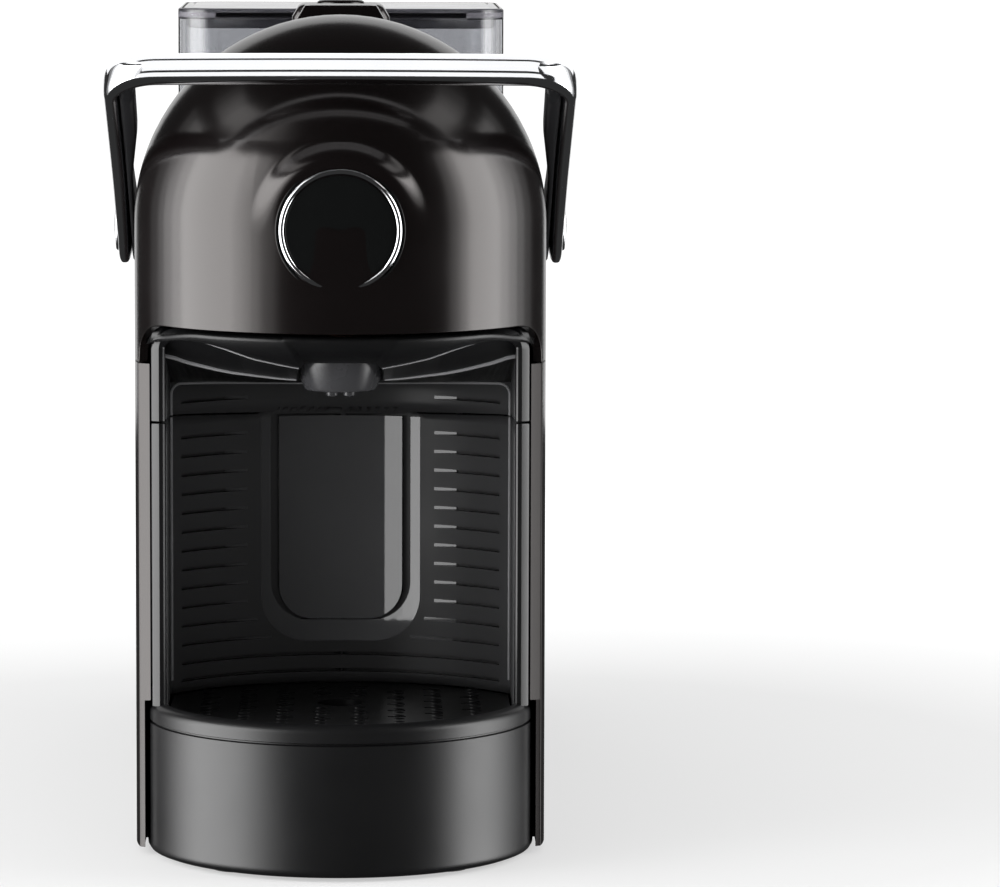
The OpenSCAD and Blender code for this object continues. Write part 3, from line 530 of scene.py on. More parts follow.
@dataclass
class Hood:
    """The glossy hood: round nose, half dome and barrel roof."""

    radius: float = 57.0
    dome_z: float = 175.5
    seam_z: float = 137.5
    lip_z: float = 148.8
    lip_start: float = 26.0
    column_d: float = 44.0
    roof_drop: float = 6.0
    drop_end: float = 117.0
    back: float = 247.0
    wall: float = 2.4
    window: tuple[float, float, float] = (24.6, 117.6, 148.4)
    fine_z: float = 153.0
    fine_turn: float = 25.0
    pad_z: float = 176.6
    pad_flat: float = 17.8
    pad_reach: float = 24.6
    pad_d: float = 0.9
    lip_round: float = 1.9

    def lip(self, depth: float) -> float:
        """Return the height of the hood's lower edge at a depth."""
        if depth >= self.column_d:
            return self.seam_z
        run = self.column_d - self.lip_start
        fall = max(depth - self.lip_start, 0.0) / run
        return mix(self.seam_z, self.lip_z, sqrt(max(1 - fall * fall, 0.0)))

    def half_section(self) -> list[Point]:
        """Return the front profile from the pole down to the lip."""
        window_turn = degrees(atan2(self.window[0],
                                    sqrt(self.radius ** 2 - self.window[0] ** 2)))
        turns = spread(0, window_turn, 6) + spread(window_turn, 64, 10)[1:]
        turns += spread(64, 90, 44)[1:]
        rows = [(0.0, self.radius * (1 - sin(radians(t))),
                 self.dome_z + self.radius * cos(radians(t))) for t in turns]
        for z in spread(self.dome_z, self.fine_z, 36)[1:]:
            rows.append((0.0, 0.0, z))
        for z in spread(self.fine_z, self.seam_z, 10)[1:]:
            rows.append((0.0, 0.0, z))
        return rows

    def skin(self, shaper: Shaper) -> None:
        """Spin the nose and run the roof back.

        Args:
            shaper: the mesh it is made in.
        """
        last = line_of(shaper.path(self.half_section()))
        turn_a, turn_b = (
            degrees(atan2(sqrt(self.radius ** 2 - (self.radius - d) ** 2),
                          self.radius - d)) for d in (self.lip_start, self.column_d))
        done = 0.0
        for turn, steps in ((self.fine_turn, 50), (turn_a, 14), (turn_b, 26),
                            (90.0, 8)):
            last = shaper.spin(last, (0, self.radius, 0), (0, 0, 1), turn - done, steps)
            done = turn
        row = verts_of(last)
        row.sort(key=lambda v: (round(v.co.x, 3), -v.co.z))
        base = [v.co.copy() for v in row]
        depths = spread(self.radius, self.drop_end, 14)[1:] + [
            self.window[1], mix(*self.window[1:], 0.5), self.window[2], 180.0, 215.0,
            self.back]
        for depth in depths:
            drop = self.roof_drop * smooth(self.radius, self.drop_end, depth)
            places = []
            for co in base:
                share = min(max((co.z - self.seam_z) / (self.dome_z - self.seam_z), 0), 1)
                places.append((co.x, depth, co.z - drop * share))
            row = shaper.step(row, places)

    def form(self, shaper: Shaper) -> None:
        """Cut the lip curve and raise the badge's flat pad.

        Args:
            shaper: the mesh it is made in.
        """
        for vert in shaper.bm.verts:
            x, d, z = vert.co
            if z < self.fine_z and d < self.column_d:
                share = (self.fine_z - self.lip(d)) / (self.fine_z - self.seam_z)
                vert.co.z = self.fine_z - (self.fine_z - z) * share
            reach = hypot(x, vert.co.z - self.pad_z)
            if d < self.radius / 2 and reach < self.pad_reach:
                rise = smooth(-0.1, 0.95, (vert.co.z - self.pad_z) / max(reach, 1.0))
                weight = (1 - smooth(self.pad_flat, self.pad_reach, reach)) * rise
                vert.co.y = mix(d, self.pad_d, weight)

    def build(self) -> None:
        """Make the hood."""
        shaper = Shaper()
        self.skin(shaper)
        self.form(shaper)
        shaper.mirror()
        half, start, end = self.window
        middles = [(f, f.calc_center_median()) for f in shaper.bm.faces]
        hole = [f for f, spot in middles if abs(spot.x) < half
                and start < spot.y < end and spot.z > self.dome_z]
        bmesh.ops.delete(shaper.bm, geom=hole, context="FACES")
        shaper.tidy()
        bmesh.ops.solidify(shaper.bm, geom=shaper.bm.faces[:], thickness=self.wall)
        shaper.bevel(self.lip_round, 5, 60.0, lambda p: p.y < self.column_d + 0.3
                     and hypot(p.x, p.y - self.radius) > self.radius - 0.4)
        shaper.bevel(0.4, 2, 60.0)
        shaper.finish("hood_shell", GLOSS_BLACK, "casing", ["hood"], sharp=40.0)


@dataclass
class SidePanels:
    """The two glossy flanks, whose front edges are the columns beside the bay."""

    radius: float = 57.0
    inner: float = 54.4
    low: float = 2.2
    high: float = 137.1
    notch_z: float = 43.5
    notch_x: float = 54.15
    back: float = 247.0
    edge: tuple[Point, Point] = ((52.5, 42.7, 0.0), (55.45, 44.7, 0.0))

    def outline(self, inner_edge: float) -> list[tuple[float, float]]:
        """Return the plan of the right panel with its front edge starting at x."""
        outer_x, outer_d = self.edge[1][0], self.edge[1][1]
        start = atan2(outer_x, self.radius - outer_d)
        plan = [(inner_edge, self.edge[0][1] + 0.7 * (inner_edge - self.edge[0][0]))]
        plan += [(outer_x - 0.25, outer_d - 0.25)]
        for turn in spread(start, pi / 2, 8):
            plan.append((self.radius * sin(turn), self.radius * (1 - cos(turn))))
        plan += [(self.radius, 120.0), (self.radius, self.back),
                 (self.inner, self.back), (self.inner, 58.0),
                 (min(self.inner, inner_edge + 1.2), 49.0)]
        return plan

    def build(self) -> None:
        """Make both panels."""
        for side, name in ((-1, "left_side_panel"), (1, "right_side_panel")):
            shaper = Shaper()
            rings = []
            for z, x in ((self.low, self.notch_x), (self.notch_z - 0.2, self.notch_x),
                         (self.notch_z, self.edge[0][0]), (self.high, self.edge[0][0])):
                rings.append([(side * p[0], p[1], z) for p in self.outline(x)])
            shaper.loft(rings)
            shaper.tidy()
            shaper.bevel(0.45, 3, 32.0)
            shaper.finish(name.replace("side", "flank"), GLOSS_BLACK, "casing", [name],
                          sharp=45.0)


@dataclass
class Drawer:
    """The pull-out drawer: drip bucket, bezels and the slotted back wall."""

    bucket_d: float = 55.2
    side_d: float = 85.7
    wall_d: float = 50.0
    wall_r: float = 60.0
    bay_x: float = 48.2
    front_d: float = 47.0
    split_z: float = 116.9
    groove_z: float = 111.6
    groove_pitch: float = 5.4
    groove_high: float = 1.0
    wall_low: float = 38.7
    recess_z: float = 56.9
    split_fall: float = 0.066
    floor_slope: float = 0.3
    press_depth: float = 2.0
    bead: float = 0.8
    groove_x: tuple[float, float] = (26.8, 45.2)
    panel: tuple[float, float, float] = (17.7, 57.0, 10.0)
    gap: tuple[float, float, float] = (20.0, 56.6, 11.5)
    band: tuple[float, float, float] = (22.9, 50.6, 13.5)
    rim: tuple[tuple[float, float], ...] = (
        (0, 0.9), (51.8, 0.9), (53.1, 1.4), (53.7, 2.4), (53.8, 3.6), (53.8, 37.1),
        (53.1, 37.4), (53.1, 37.7), (53.8, 38.0), (53.8, 40.3), (53.6, 41.1),
        (53.1, 41.8), (52.2, 42.4), (51.2, 42.8), (50.5, 42.9), (50.1, 42.7),
        (49.9, 42.2), (49.9, 38.6), (50.7, 37.6), (50.8, 6.5), (49.8, 5.6), (0, 5.6))

    def bucket(self) -> None:
        """Make the drip bucket with its rolled rim."""
        shaper = Shaper()
        row = shaper.path([(0.0, self.bucket_d - r, z) for r, z in self.rim])
        last = shaper.spin(line_of(row), (0, self.bucket_d, 0), (0, 0, 1), 90.0, 48)
        row = verts_of(last)
        order = {(round(r, 2), round(z, 2)): i for i, (r, z) in enumerate(self.rim)}
        row.sort(key=lambda v: order[(abs(round(v.co.x, 2)), round(v.co.z, 2))])
        for depth in spread(self.bucket_d, self.side_d, 3)[1:]:
            row = shaper.step(row, [(v.co.x, depth, v.co.z) for v in row])
        shaper.mirror()
        shaper.tidy()
        shaper.finish("drip_bucket", SATIN_BLACK, "drawer", ["drawer_body"], sharp=50.0)

    def wall_point(self, x: float, z: float, off: float = 0.0) -> Point:
        """Return the place on the concave wall, a distance in front of it."""
        turn = atan2(x, sqrt(max(self.wall_r ** 2 - x * x, 0.0)))
        reach = self.wall_r - off
        return (reach * sin(turn), self.wall_d + reach * cos(turn), z)

    def split(self, depth: float) -> float:
        """Return the height of the drawer's upper edge at a depth."""
        return self.split_z - 0.4 + (110.0 - depth) * self.split_fall

    def groove_rows(self) -> list[tuple[float, float, float]]:
        """Return each groove's low edge, high edge and inner end."""
        rows = []
        ends = {10: 24.0, 11: 20.0, 12: 0.0, 13: 0.0}
        for k in range(14):
            z = self.groove_z - self.groove_pitch * k + (0.6 if k == 13 else 0.0)
            rows.append((z - self.groove_high / 2, z + self.groove_high / 2,
                         ends.get(k, self.groove_x[0])))
        return rows

    def columns(self) -> list[float]:
        """Return the wall's columns from the middle to the side."""
        return (spread(0.0, 20.0, 8) + [24.0] + spread(*self.groove_x, 12)
                + [self.bay_x])

    def press(self, shaper: Shaper, rows: Sequence[tuple[float, float, float]],
              recess: float = inf) -> None:
        """Press slots and the tongue's recess into a half wall and mirror it.

        Args:
            shaper: the half wall.
            rows: low edge, high edge and inner end of each slot.
            recess: the height above which the wall's middle is pressed in.
        """
        slots = []
        for face in shaper.bm.faces:
            spot = face.calc_center_median()
            if spot.y > self.side_d - 1 and any(
                    low < spot.z < high and start < spot.x < self.groove_x[1]
                    for low, high, start in rows):
                slots.append(face)
            elif spot.x < self.gap[0] and spot.z > recess:
                slots.append(face)
        pressed = bmesh.ops.extrude_face_region(shaper.bm, geom=slots)["geom"]
        bmesh.ops.delete(shaper.bm, geom=slots, context="FACES")
        for vert in verts_of(pressed):
            away = Vector((vert.co.x, vert.co.y - self.wall_d, 0)).normalized()
            vert.co += away * self.press_depth
        shaper.mirror()
        shaper.tidy()
        shaper.face_away(1)

    def wall(self) -> None:
        """Make the back wall with its slots pressed in."""
        shaper = Shaper()
        levels = sorted({self.wall_low, self.recess_z, 90.0, 115.0}
                        | {z for row in self.groove_rows() for z in row[:2]})

        def column(x: float) -> list[Point]:
            """Return the places up the wall at a distance from its middle."""
            top = self.split(self.wall_point(x, 0)[1])
            return [self.wall_point(x, z) for z in levels] + [self.wall_point(x, top)]

        front = [(self.bay_x, self.front_d, z)
                 for z in levels + [self.split(self.front_d)]]
        shaper.run([column(x) for x in self.columns()] + [front])
        self.press(shaper, self.groove_rows(), self.recess_z)
        give_wall(shaper.finish("bay_wall", BAY_GREY, "drawer", ["drawer_body"]), 2.0)

    def slot_floors(self, rows: Sequence[tuple[float, float, float]], name: str,
                    body: str, node: str) -> None:
        """Make the polished floors of the slots.

        Args:
            rows: low edge, high edge and inner end of each slot.
            name: the piece's name.
            body: the body it rides on.
            node: the CAD node it belongs to.
        """
        shaper = Shaper()
        for low, high, start in rows:
            if start < self.groove_x[0] - 7:
                continue
            for side in (-1, 1):
                rings = []
                first = self.wall_point(start, 0, -0.1)
                for x in (start + 0.05, start + 3.0, self.groove_x[0] + 6.4):
                    d = first[1] - (x - start) * self.floor_slope
                    rings.append([(side * x, d + t, z) for t, z in (
                        (0.0, low + 0.03), (0.0, high - 0.03), (0.5, high - 0.03),
                        (0.5, low + 0.03))])
                shaper.loft(rings)
        shaper.tidy()
        shaper.finish(name, BAY_POLISHED, body, [node], sharp=25.0)

    def outline(self) -> None:
        """Make the fine bead down both sides of the wall, light grey as a painted edge
        highlight.
        """
        shaper = Shaper()
        for side in (-1, 1):
            x, d, _ = self.wall_point(side * 48.0, 0, 0.1)
            line = [(x, d, z) for z in spread(42.6, self.split(d) - 0.2, 6)]
            shaper.tube(line, [self.bead] * len(line))
        shaper.tidy()
        shaper.finish("wall_highlight_beads", BEAD_HIGHLIGHT_GREY, "drawer", ["drawer_body"])

    def wrapped(self, outline: Sequence[tuple[float, float]], front: float,
                thick: float) -> Shaper:
        """Cut a flat shape, bend it on to the wall and give it a wall.

        Args:
            outline: corners across and up.
            front: how far its face stands in front of the wall.
            thick: its thickness.

        Returns:
            The shaper that holds it.
        """
        shaper = Shaper()
        face = shaper.bm.faces.new(shaper.path([(x, 0.0, z) for x, z in outline],
                                               closed=True))
        rise = bmesh.ops.extrude_face_region(shaper.bm, geom=[face])["geom"]
        bmesh.ops.translate(shaper.bm, vec=(0, thick, 0), verts=verts_of(rise))
        for x in spread(-24, 24, 16):
            bmesh.ops.bisect_plane(shaper.bm, geom=shaper.bm.verts[:]
                                   + shaper.bm.edges[:] + shaper.bm.faces[:],
                                   dist=0.001, plane_co=(x, 0, 0), plane_no=(1, 0, 0))
        shaper.tidy()
        shaper.bevel(0.35, 2, 50.0)
        for vert in shaper.bm.verts:
            vert.co = self.wall_point(vert.co.x, vert.co.z, front - vert.co.y)
        return shaper

    @staticmethod
    def tongue(half: float, low: float, corner: float, high: float
               ) -> list[tuple[float, float]]:
        """Return a hanging tongue's outline with rounded lower corners."""
        points = [(-half, high)]
        for side, turns in ((-1, spread(180, 270, 12)), (1, spread(270, 360, 12))):
            for turn in turns:
                points.append((side * (half - corner) + corner * cos(radians(turn)),
                               low + corner + corner * sin(radians(turn))))
        return points + [(half, high)]

    def tongues(self) -> None:
        """Make the plain panel that hangs in the wall's middle and its band."""
        top = self.split_z - 0.9
        ring = self.tongue(*self.band, top) + self.tongue(*self.gap, top)[::-1]
        for name, outline, thick in (
                ("tongue_panel", self.tongue(*self.panel, top), 1.4),
                ("tongue_band", ring, 0.5)):
            self.wrapped(outline, 0.1, thick).finish(name, BAY_POLISHED, "drawer",
                                                     ["drawer_body"])

    def bezels(self) -> None:
        """Make the two uprights that frame the bay."""
        plan = [(48.2, 47.0), (48.2, 41.2), (48.35, 40.6), (48.8, 40.25), (49.9, 40.1),
                (51.5, 41.1), (51.95, 41.7), (52.05, 42.6), (52.05, 47.0)]
        for side, name in ((-1, "bezel_left"), (1, "bezel_right")):
            shaper = Shaper()
            rings = [[(side * x, d, z) for x, d in plan] for z in (42.0, 60.0, 90.0)]
            rings.append([(side * x, d, self.split(d) - 0.3) for x, d in plan])
            shaper.loft(rings)
            shaper.tidy()
            shaper.bevel(0.3, 2, 60.0)
            shaper.finish(name, SATIN_BLACK, "drawer", ["drawer_body"], sharp=25.0)

    def grid_beads(self) -> None:
        """Make the raised eyebrows beside the drip grid's slots."""
        shaper = Shaper()
        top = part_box("drip_grid")[1].z / MM
        for row in range(16):
            for x in (5.4, 16.2, 27.0, 37.8):
                d = 23.0 + 5.6 * row + x * x / 84 - 1.4
                if hypot(x, d - 52.6) > 43 and d < 52.6:
                    continue
                if d > 97 or (x < 12 and 62 < d < 80):
                    continue
                for side in (-1, 1):
                    line = [(side * x + t * 1.5, d + 0.5 * t * t, top)
                            for t in (-1, -0.5, 0.0, 0.5, 1)]
                    shaper.tube(line, [0.3, 0.7, 0.85, 0.7, 0.3], 6)
        shaper.tidy()
        shaper.finish("grid_beads", SATIN_BLACK, "grid")

    def build(self) -> None:
        """Make every piece of the drawer."""
        self.bucket()
        self.wall()
        self.tongues()
        self.slot_floors(self.groove_rows(), "slot_floors", "drawer", "drawer_body")
        self.outline()
        self.bezels()
        self.grid_beads()


@dataclass
class Canopy:
    """The ceiling of the cup bay with its crease lines and the spout."""

    drawer: Drawer = field(default_factory=Drawer)
    spout: tuple[float, float] = (50.0, 129.3)
    slot: tuple[float, float] = (121.3, 122.3)
    spout_pocket_z: float = 138.4
    ridge_one: tuple[tuple[float, float], ...] = (
        (49.7, 139.35), (45.8, 138.6), (42.1, 137.3), (38.5, 136.4), (34.9, 135.5),
        (29.5, 134.4), (24.1, 133.7), (16.9, 132.8), (12.2, 132.45))
    ridge_two: tuple[tuple[float, float], ...] = (
        (38.1, 143.85), (31.0, 141.9), (23.9, 139.5), (16.7, 137.95), (11.4, 137.0))

    def along(self, curve: Sequence[tuple[float, float]], x: float) -> float:
        """Return a curve's height at a distance from the middle."""
        points = sorted(curve)
        if x < points[0][0] - 0.6:
            return self.spout_pocket_z
        if x <= points[0][0]:
            return points[0][1]
        for (x0, z0), (x1, z1) in zip(points, points[1:]):
            if x <= x1:
                return mix(z0, z1, (x - x0) / (x1 - x0))
        return points[-1][1] + (x - points[-1][0]) * 0.2

    def ceiling(self) -> None:
        """Make the ceiling as a skin over its crease lines."""
        shares = [0.0, 0.1, 0.19, 0.21, 0.23] + spread(0.25, 1.0, 20)
        nose = []
        for share in shares:
            turn = radians(74.5) * share
            nose.append((54.0 * sin(turn), 57 - 54.0 * cos(turn),
                         146.2 - 3.0 * smooth(0.6, 1.0, share)))
        two = [(52.0 * s, 30.0 + 9 * s * s, self.along(self.ridge_two, 52.0 * s))
               for s in shares]
        one = [(51.5 * s, 46.0, self.along(self.ridge_one, 51.5 * s)) for s in shares]
        back = [self.drawer.wall_point(49.0 * s, 125.2 + 2.4 * s * s, -1.0)
                for s in shares]
        shaper = Shaper()
        shaper.run([nose, two, one, back])
        shaper.mirror()
        bmesh.ops.remove_doubles(shaper.bm, verts=shaper.bm.verts, dist=0.004)
        bmesh.ops.recalc_face_normals(shaper.bm, faces=shaper.bm.faces)
        shaper.face_away(2)
        # The ceiling wears the darkened copy of the bay plastic, painted shade against the
        # bounce light from below.
        give_wall(shaper.finish("canopy_ceiling", BAY_SHADED_BLACK, "casing", ["brew_canopy"],
                                sharp=12.0), 1.6)

    def creases(self) -> None:
        """Make the beads along the creases, light grey as a painted highlight on the
        crease edges.
        """
        shaper = Shaper()
        for curve, depth, thick in ((self.ridge_one, 46.0, 1.3),
                                    (self.ridge_two, 30.0, 0.8)):
            for side in (-1, 1):
                line, sizes = [], []
                for x in spread(curve[0][0], curve[-1][0], 20):
                    back = 9 * (x / 52) ** 2 if depth < 40 else 0.0
                    line.append((side * x, depth + back, self.along(curve, x) - 0.1))
                    size = thick * mix(0.45, 1.0, smooth(10, 50, x))
                    if depth < 40:
                        size *= 1 - smooth(28, 38.2, x) * 0.85
                    sizes.append(size)
                shaper.tube(line, sizes)
        shaper.tidy()
        shaper.finish("canopy_highlight_beads", BEAD_HIGHLIGHT_GREY, "casing", ["brew_canopy"])

    def wall_bead(self) -> None:
        """Make the fine bead round the top of the concave wall, light grey as a painted
        edge highlight.
        """
        shaper = Shaper()
        line: list[Point] = []
        low = self.drawer.split(86.0) + 0.3
        for z in spread(low, 124.6, 4):
            line.append(self.drawer.wall_point(-48.0, z, 0.1))
        for turn in spread(180, 90, 6)[1:]:
            line.append(self.drawer.wall_point(-45.4 + 2.6 * cos(radians(turn)),
                                               124.6 + 2.6 * sin(radians(turn)), 0.1))
        for x in spread(-45.4, 0.0, 14)[1:]:
            line.append(self.drawer.wall_point(x, mix(125.4, 127.2, (x / 45.4) ** 2),
                                               0.1))
        line += [(-x, d, z) for x, d, z in line[-2::-1]]
        shaper.tube(line, [self.drawer.bead] * len(line))
        shaper.tidy()
        shaper.finish("canopy_wall_highlight_bead", BEAD_HIGHLIGHT_GREY, "casing", ["brew_canopy"])

    def wall(self) -> None:
        """Make the canopy's part of the concave wall."""
        shaper = Shaper()
        drawer = self.drawer
        low_edge, high_edge = self.slot

        def column(x: float) -> list[Point]:
            """Return the places up the wall at a distance from its middle."""
            low = drawer.split(drawer.wall_point(x, 0)[1]) + 0.5
            return [drawer.wall_point(x, z) for z in (low, low_edge, high_edge, 132.0)]

        front = [(drawer.bay_x, drawer.front_d, z) for z in (
            drawer.split(drawer.front_d) + 0.5, 121.6, high_edge, 138.0)]
        shaper.run([column(x) for x in drawer.columns()] + [front])
        rows = [(low_edge, high_edge, drawer.groove_x[0])]
        drawer.press(shaper, rows)
        give_wall(shaper.finish("canopy_wall", BAY_GREY, "casing", ["brew_canopy"]), 2.0)
        drawer.slot_floors(rows, "canopy_slot_floors", "casing", "brew_canopy")

    def bezel(self) -> None:
        """Make the bezel's upper part, which runs on under the hood's lip."""
        plan = [(-2.1, 7.0), (-2.1, 1.2), (-1.95, 0.6), (-1.5, 0.25), (-0.4, 0.1),
                (1.2, 1.1), (1.65, 1.7), (1.75, 2.6), (1.75, 7.0)]
        centre, corner, high = 50.3, 5.8, 147.0
        stops = [(centre, z, 0.0, 1.0)
                 for z in (self.drawer.split(40.0) + 0.3, 128.0, 135.0, high - corner)]
        for turn in spread(0, 90, 10)[1:]:
            t = radians(turn)
            stops.append((centre - corner * (1 - cos(t)), high - corner
                          + corner * sin(t), t, mix(1.0, 0.7, turn / 90)))
        for x in spread(centre - corner, 0.0, 16)[1:]:
            stops.append((x, high, pi / 2, mix(0.7, 0.45, 1 - x / centre)))
        rings = []
        for x, z, t, size in stops:
            d = 57.0 - sqrt(53.0 ** 2 - x * x)
            lean = atan2(x, 57.0 - d) * smooth(0.0, pi / 2, t)
            rings.append([(x + a * size * cos(t) - b * sin(lean), d - 0.3
                           + b * cos(lean), z + a * size * sin(t)) for a, b in plan])
        shaper = Shaper()
        shaper.bm.faces.new(shaper.run(rings, closed=True)[0])
        shaper.mirror()
        shaper.tidy()
        shaper.finish("canopy_bezel", SATIN_BLACK, "casing", ["brew_canopy"], sharp=25.0)

    def make_spout(self) -> None:
        """Make the spout: a short cone with two outlets under it."""
        depth, low = self.spout
        shaper = Shaper()
        profile = [(0.0, low + 0.6), (3.0, low + 0.3), (8.9, low), (9.8, low + 0.25),
                   (10.2, low + 1.0), (12.5, low + 7.2), (12.8, low + 9.8),
                   (0.0, low + 9.8)]
        shaper.revolve([(r, depth, z) for r, z in profile], (0, depth, 0), (0, 0, 1), 56)
        for side in (-1, 1):
            lip = [(0.0, low - 1.7), (1.3, low - 1.7), (1.7, low - 1.4), (1.9, low + 0.6),
                   (0.0, low + 0.6)]
            shaper.revolve([(side * 2.4 + r, depth - 1.5, z) for r, z in lip],
                           (side * 2.4, depth - 1.5, 0), (0, 0, 1), 24)
        shaper.tidy()
        shaper.finish("spout_cone", SPOUT_GREY, "casing", ["coffee_spout"])

    def build(self) -> None:
        """Make every piece of the canopy."""
        self.ceiling()
        self.creases()
        self.wall()
        self.wall_bead()
        self.bezel()
        self.make_spout()


@dataclass
class Lever:
    """The chromed lever: grip bar, two arms and their black liners."""

    pivot: tuple[float, float] = (110.0, 171.0)
    bar: tuple[float, float] = (9.0, 219.0)
    arm_x: float = 61.75
    arm_thick: float = 4.1
    arm_high: float = 9.0
    bar_thick: float = 8.4
    hub_r: float = 11.0
    corner: float = 12.0
    bow: float = 1.0
    liner_inner: tuple[float, float] = (57.9, 55.3)
    liner_outer: float = 59.65

    @property
    def reach(self) -> float:
        """Length from the pivot to the bar's axis."""
        return hypot(self.bar[0] - self.pivot[0], self.bar[1] - self.pivot[1])

    def place(self, x: float, along: float, off: float) -> Point:
        """Return a point from its place along an arm and off the arm's plane."""
        run = ((self.bar[0] - self.pivot[0]) / self.reach,
               (self.bar[1] - self.pivot[1]) / self.reach)
        return (x, self.pivot[0] + along * run[0] + off * run[1],
                self.pivot[1] + along * run[1] - off * run[0])

    def high(self, along: float) -> float:
        """Return the arm's height at a distance from the pivot."""
        disc = 2 * sqrt(max(self.hub_r ** 2 - along * along, 0.01))
        taper = self.arm_high + 9.5 * (1 - smooth(0, 46, along))
        return disc if along < 0 else max(disc, taper)

    def bail(self) -> None:
        """Make the bar and both arms as one chromed casting."""
        stops: list[tuple[float, float, float, float, float, float]] = []
        steps = [-10.99, -10.8, -10.2, -9.2, -7.8, -6, -3.5, 0, 4, 8, 12, 18, 25, 34,
                 46, 60, 74, self.reach - self.corner]
        for s in steps:
            stops.append((self.arm_x, s, 0.0, self.arm_thick, self.high(s), 3.2))
        for turn in spread(0, 90, 12)[1:]:
            t = radians(turn)
            share = smooth(0, 90, turn)
            stops.append((self.arm_x - self.corner * (1 - cos(t)),
                          self.reach - self.corner + self.corner * sin(t), turn,
                          mix(self.arm_thick, self.bar_thick, share),
                          mix(self.arm_high, self.bar_thick, share), mix(3.2, 2.0, share)))
        for x in spread(self.arm_x - self.corner, 0, 8)[1:]:
            stops.append((x, self.reach, 90.0, self.bar_thick, self.bar_thick, 2.0))
        rings = []
        for x, s, turn, wide, high, power in stops:
            t = radians(turn)
            push = self.bow * (1 - (x / self.arm_x) ** 2) * smooth(
                self.arm_x, self.arm_x - 16, x)
            rings.append([self.place(x + a * cos(t), s + a * sin(t) + push, b)
                          for a, b in section(wide, high, power)])
        shaper = Shaper()
        shaper.bm.faces.new(shaper.run(rings, closed=True)[0])
        shaper.mirror()
        shaper.tidy()
        shaper.finish("lever_casting", CHROME, "lever", ["lever_bail"], sharp=60.0)

    def liners(self) -> None:
        """Make the black liners inside the arms."""
        for side, name in ((-1, "lever_liner_left"), (1, "lever_liner_right")):
            end = self.reach - 9.0
            rings = []
            for s in [-10.3, -9.9, -9.0, -7.5, -5, -2, 2, 6, 10, 16, 24, 34, 46, 60, 74,
                      end - 5, end - 3, end - 1.6, end - 0.6, end]:
                high = self.high(s) - 0.9
                if s > end - 5:
                    high *= sqrt(max(1 - ((s - end + 5) / 5.05) ** 2, 0.01))
                if s < 0:
                    high = 2 * sqrt(max(10.35 ** 2 - s * s, 0.01))
                inner = mix(*self.liner_inner, smooth(38, 82, s))
                middle = (inner + self.liner_outer) / 2
                rings.append([self.place(side * (middle + a), s, b) for a, b in
                              section(self.liner_outer - inner, high, 4.0, 24)])
            shaper = Shaper()
            shaper.loft(rings)
            shaper.tidy()
            shaper.finish(name, LINER, "lever", ["lever_liners"], sharp=50.0)

    def pivots(self) -> None:
        """Make the domed discs over the two pivots."""
        shaper = Shaper()
        d, z = self.pivot
        for side in (-1, 1):
            profile = [(side * 63.0, 7.4), (side * 63.9, 7.4), (side * 64.2, 7.1),
                       (side * 64.25, 6.6), (side * 64.0, 6.3), (side * 64.2, 5.9),
                       (side * 64.6, 4.0), (side * 64.8, 2.0), (side * 64.85, 0.0)]
            shaper.revolve([(x, d - r, z) for x, r in profile], (0, d, z), (1, 0, 0), 48)
        shaper.tidy()
        shaper.finish("pivot_domes", CHROME, "lever", ["lever_bail"])

    def build(self) -> None:
        """Make every piece of the lever."""
        self.bail()
        self.liners()
        self.pivots()


@dataclass
class Badge:
    """The round badge: a plain black disc in a silver ring."""

    height: float = 176.6
    steps: int = 96

    def build(self) -> None:
        """Make the ring and the disc."""
        ring = Shaper()
        profile = [(14.9, 1.6), (14.95, 0.9), (15.2, 0.45), (15.6, 0.2), (16.0, 0.25),
                   (16.4, 0.6), (16.6, 1.1), (16.6, 1.8), (14.9, 1.8), (14.9, 1.6)]
        ring.revolve([(r, d, self.height) for r, d in profile], (0, 0, self.height),
                     (0, 1, 0), self.steps)
        ring.tidy()
        ring.finish("badge_rim", CHROME, "casing", ["badge_ring"], sharp=60.0)
        disc = Shaper()
        face = [(0.0, 0.35), (6.0, 0.38), (11.0, 0.46), (14.2, 0.6), (14.7, 0.8),
                (14.8, 1.5), (16.7, 1.5), (16.9, 1.0), (17.3, 1.1), (17.5, 1.5),
                (17.6, 4.2), (0.0, 4.2)]
        disc.revolve([(r, d, self.height) for r, d in face], (0, 0, self.height),
                     (0, 1, 0), self.steps)
        disc.tidy()
        disc.finish("badge_face", BADGE_BLACK, "casing", ["badge_disc"], sharp=40.0)


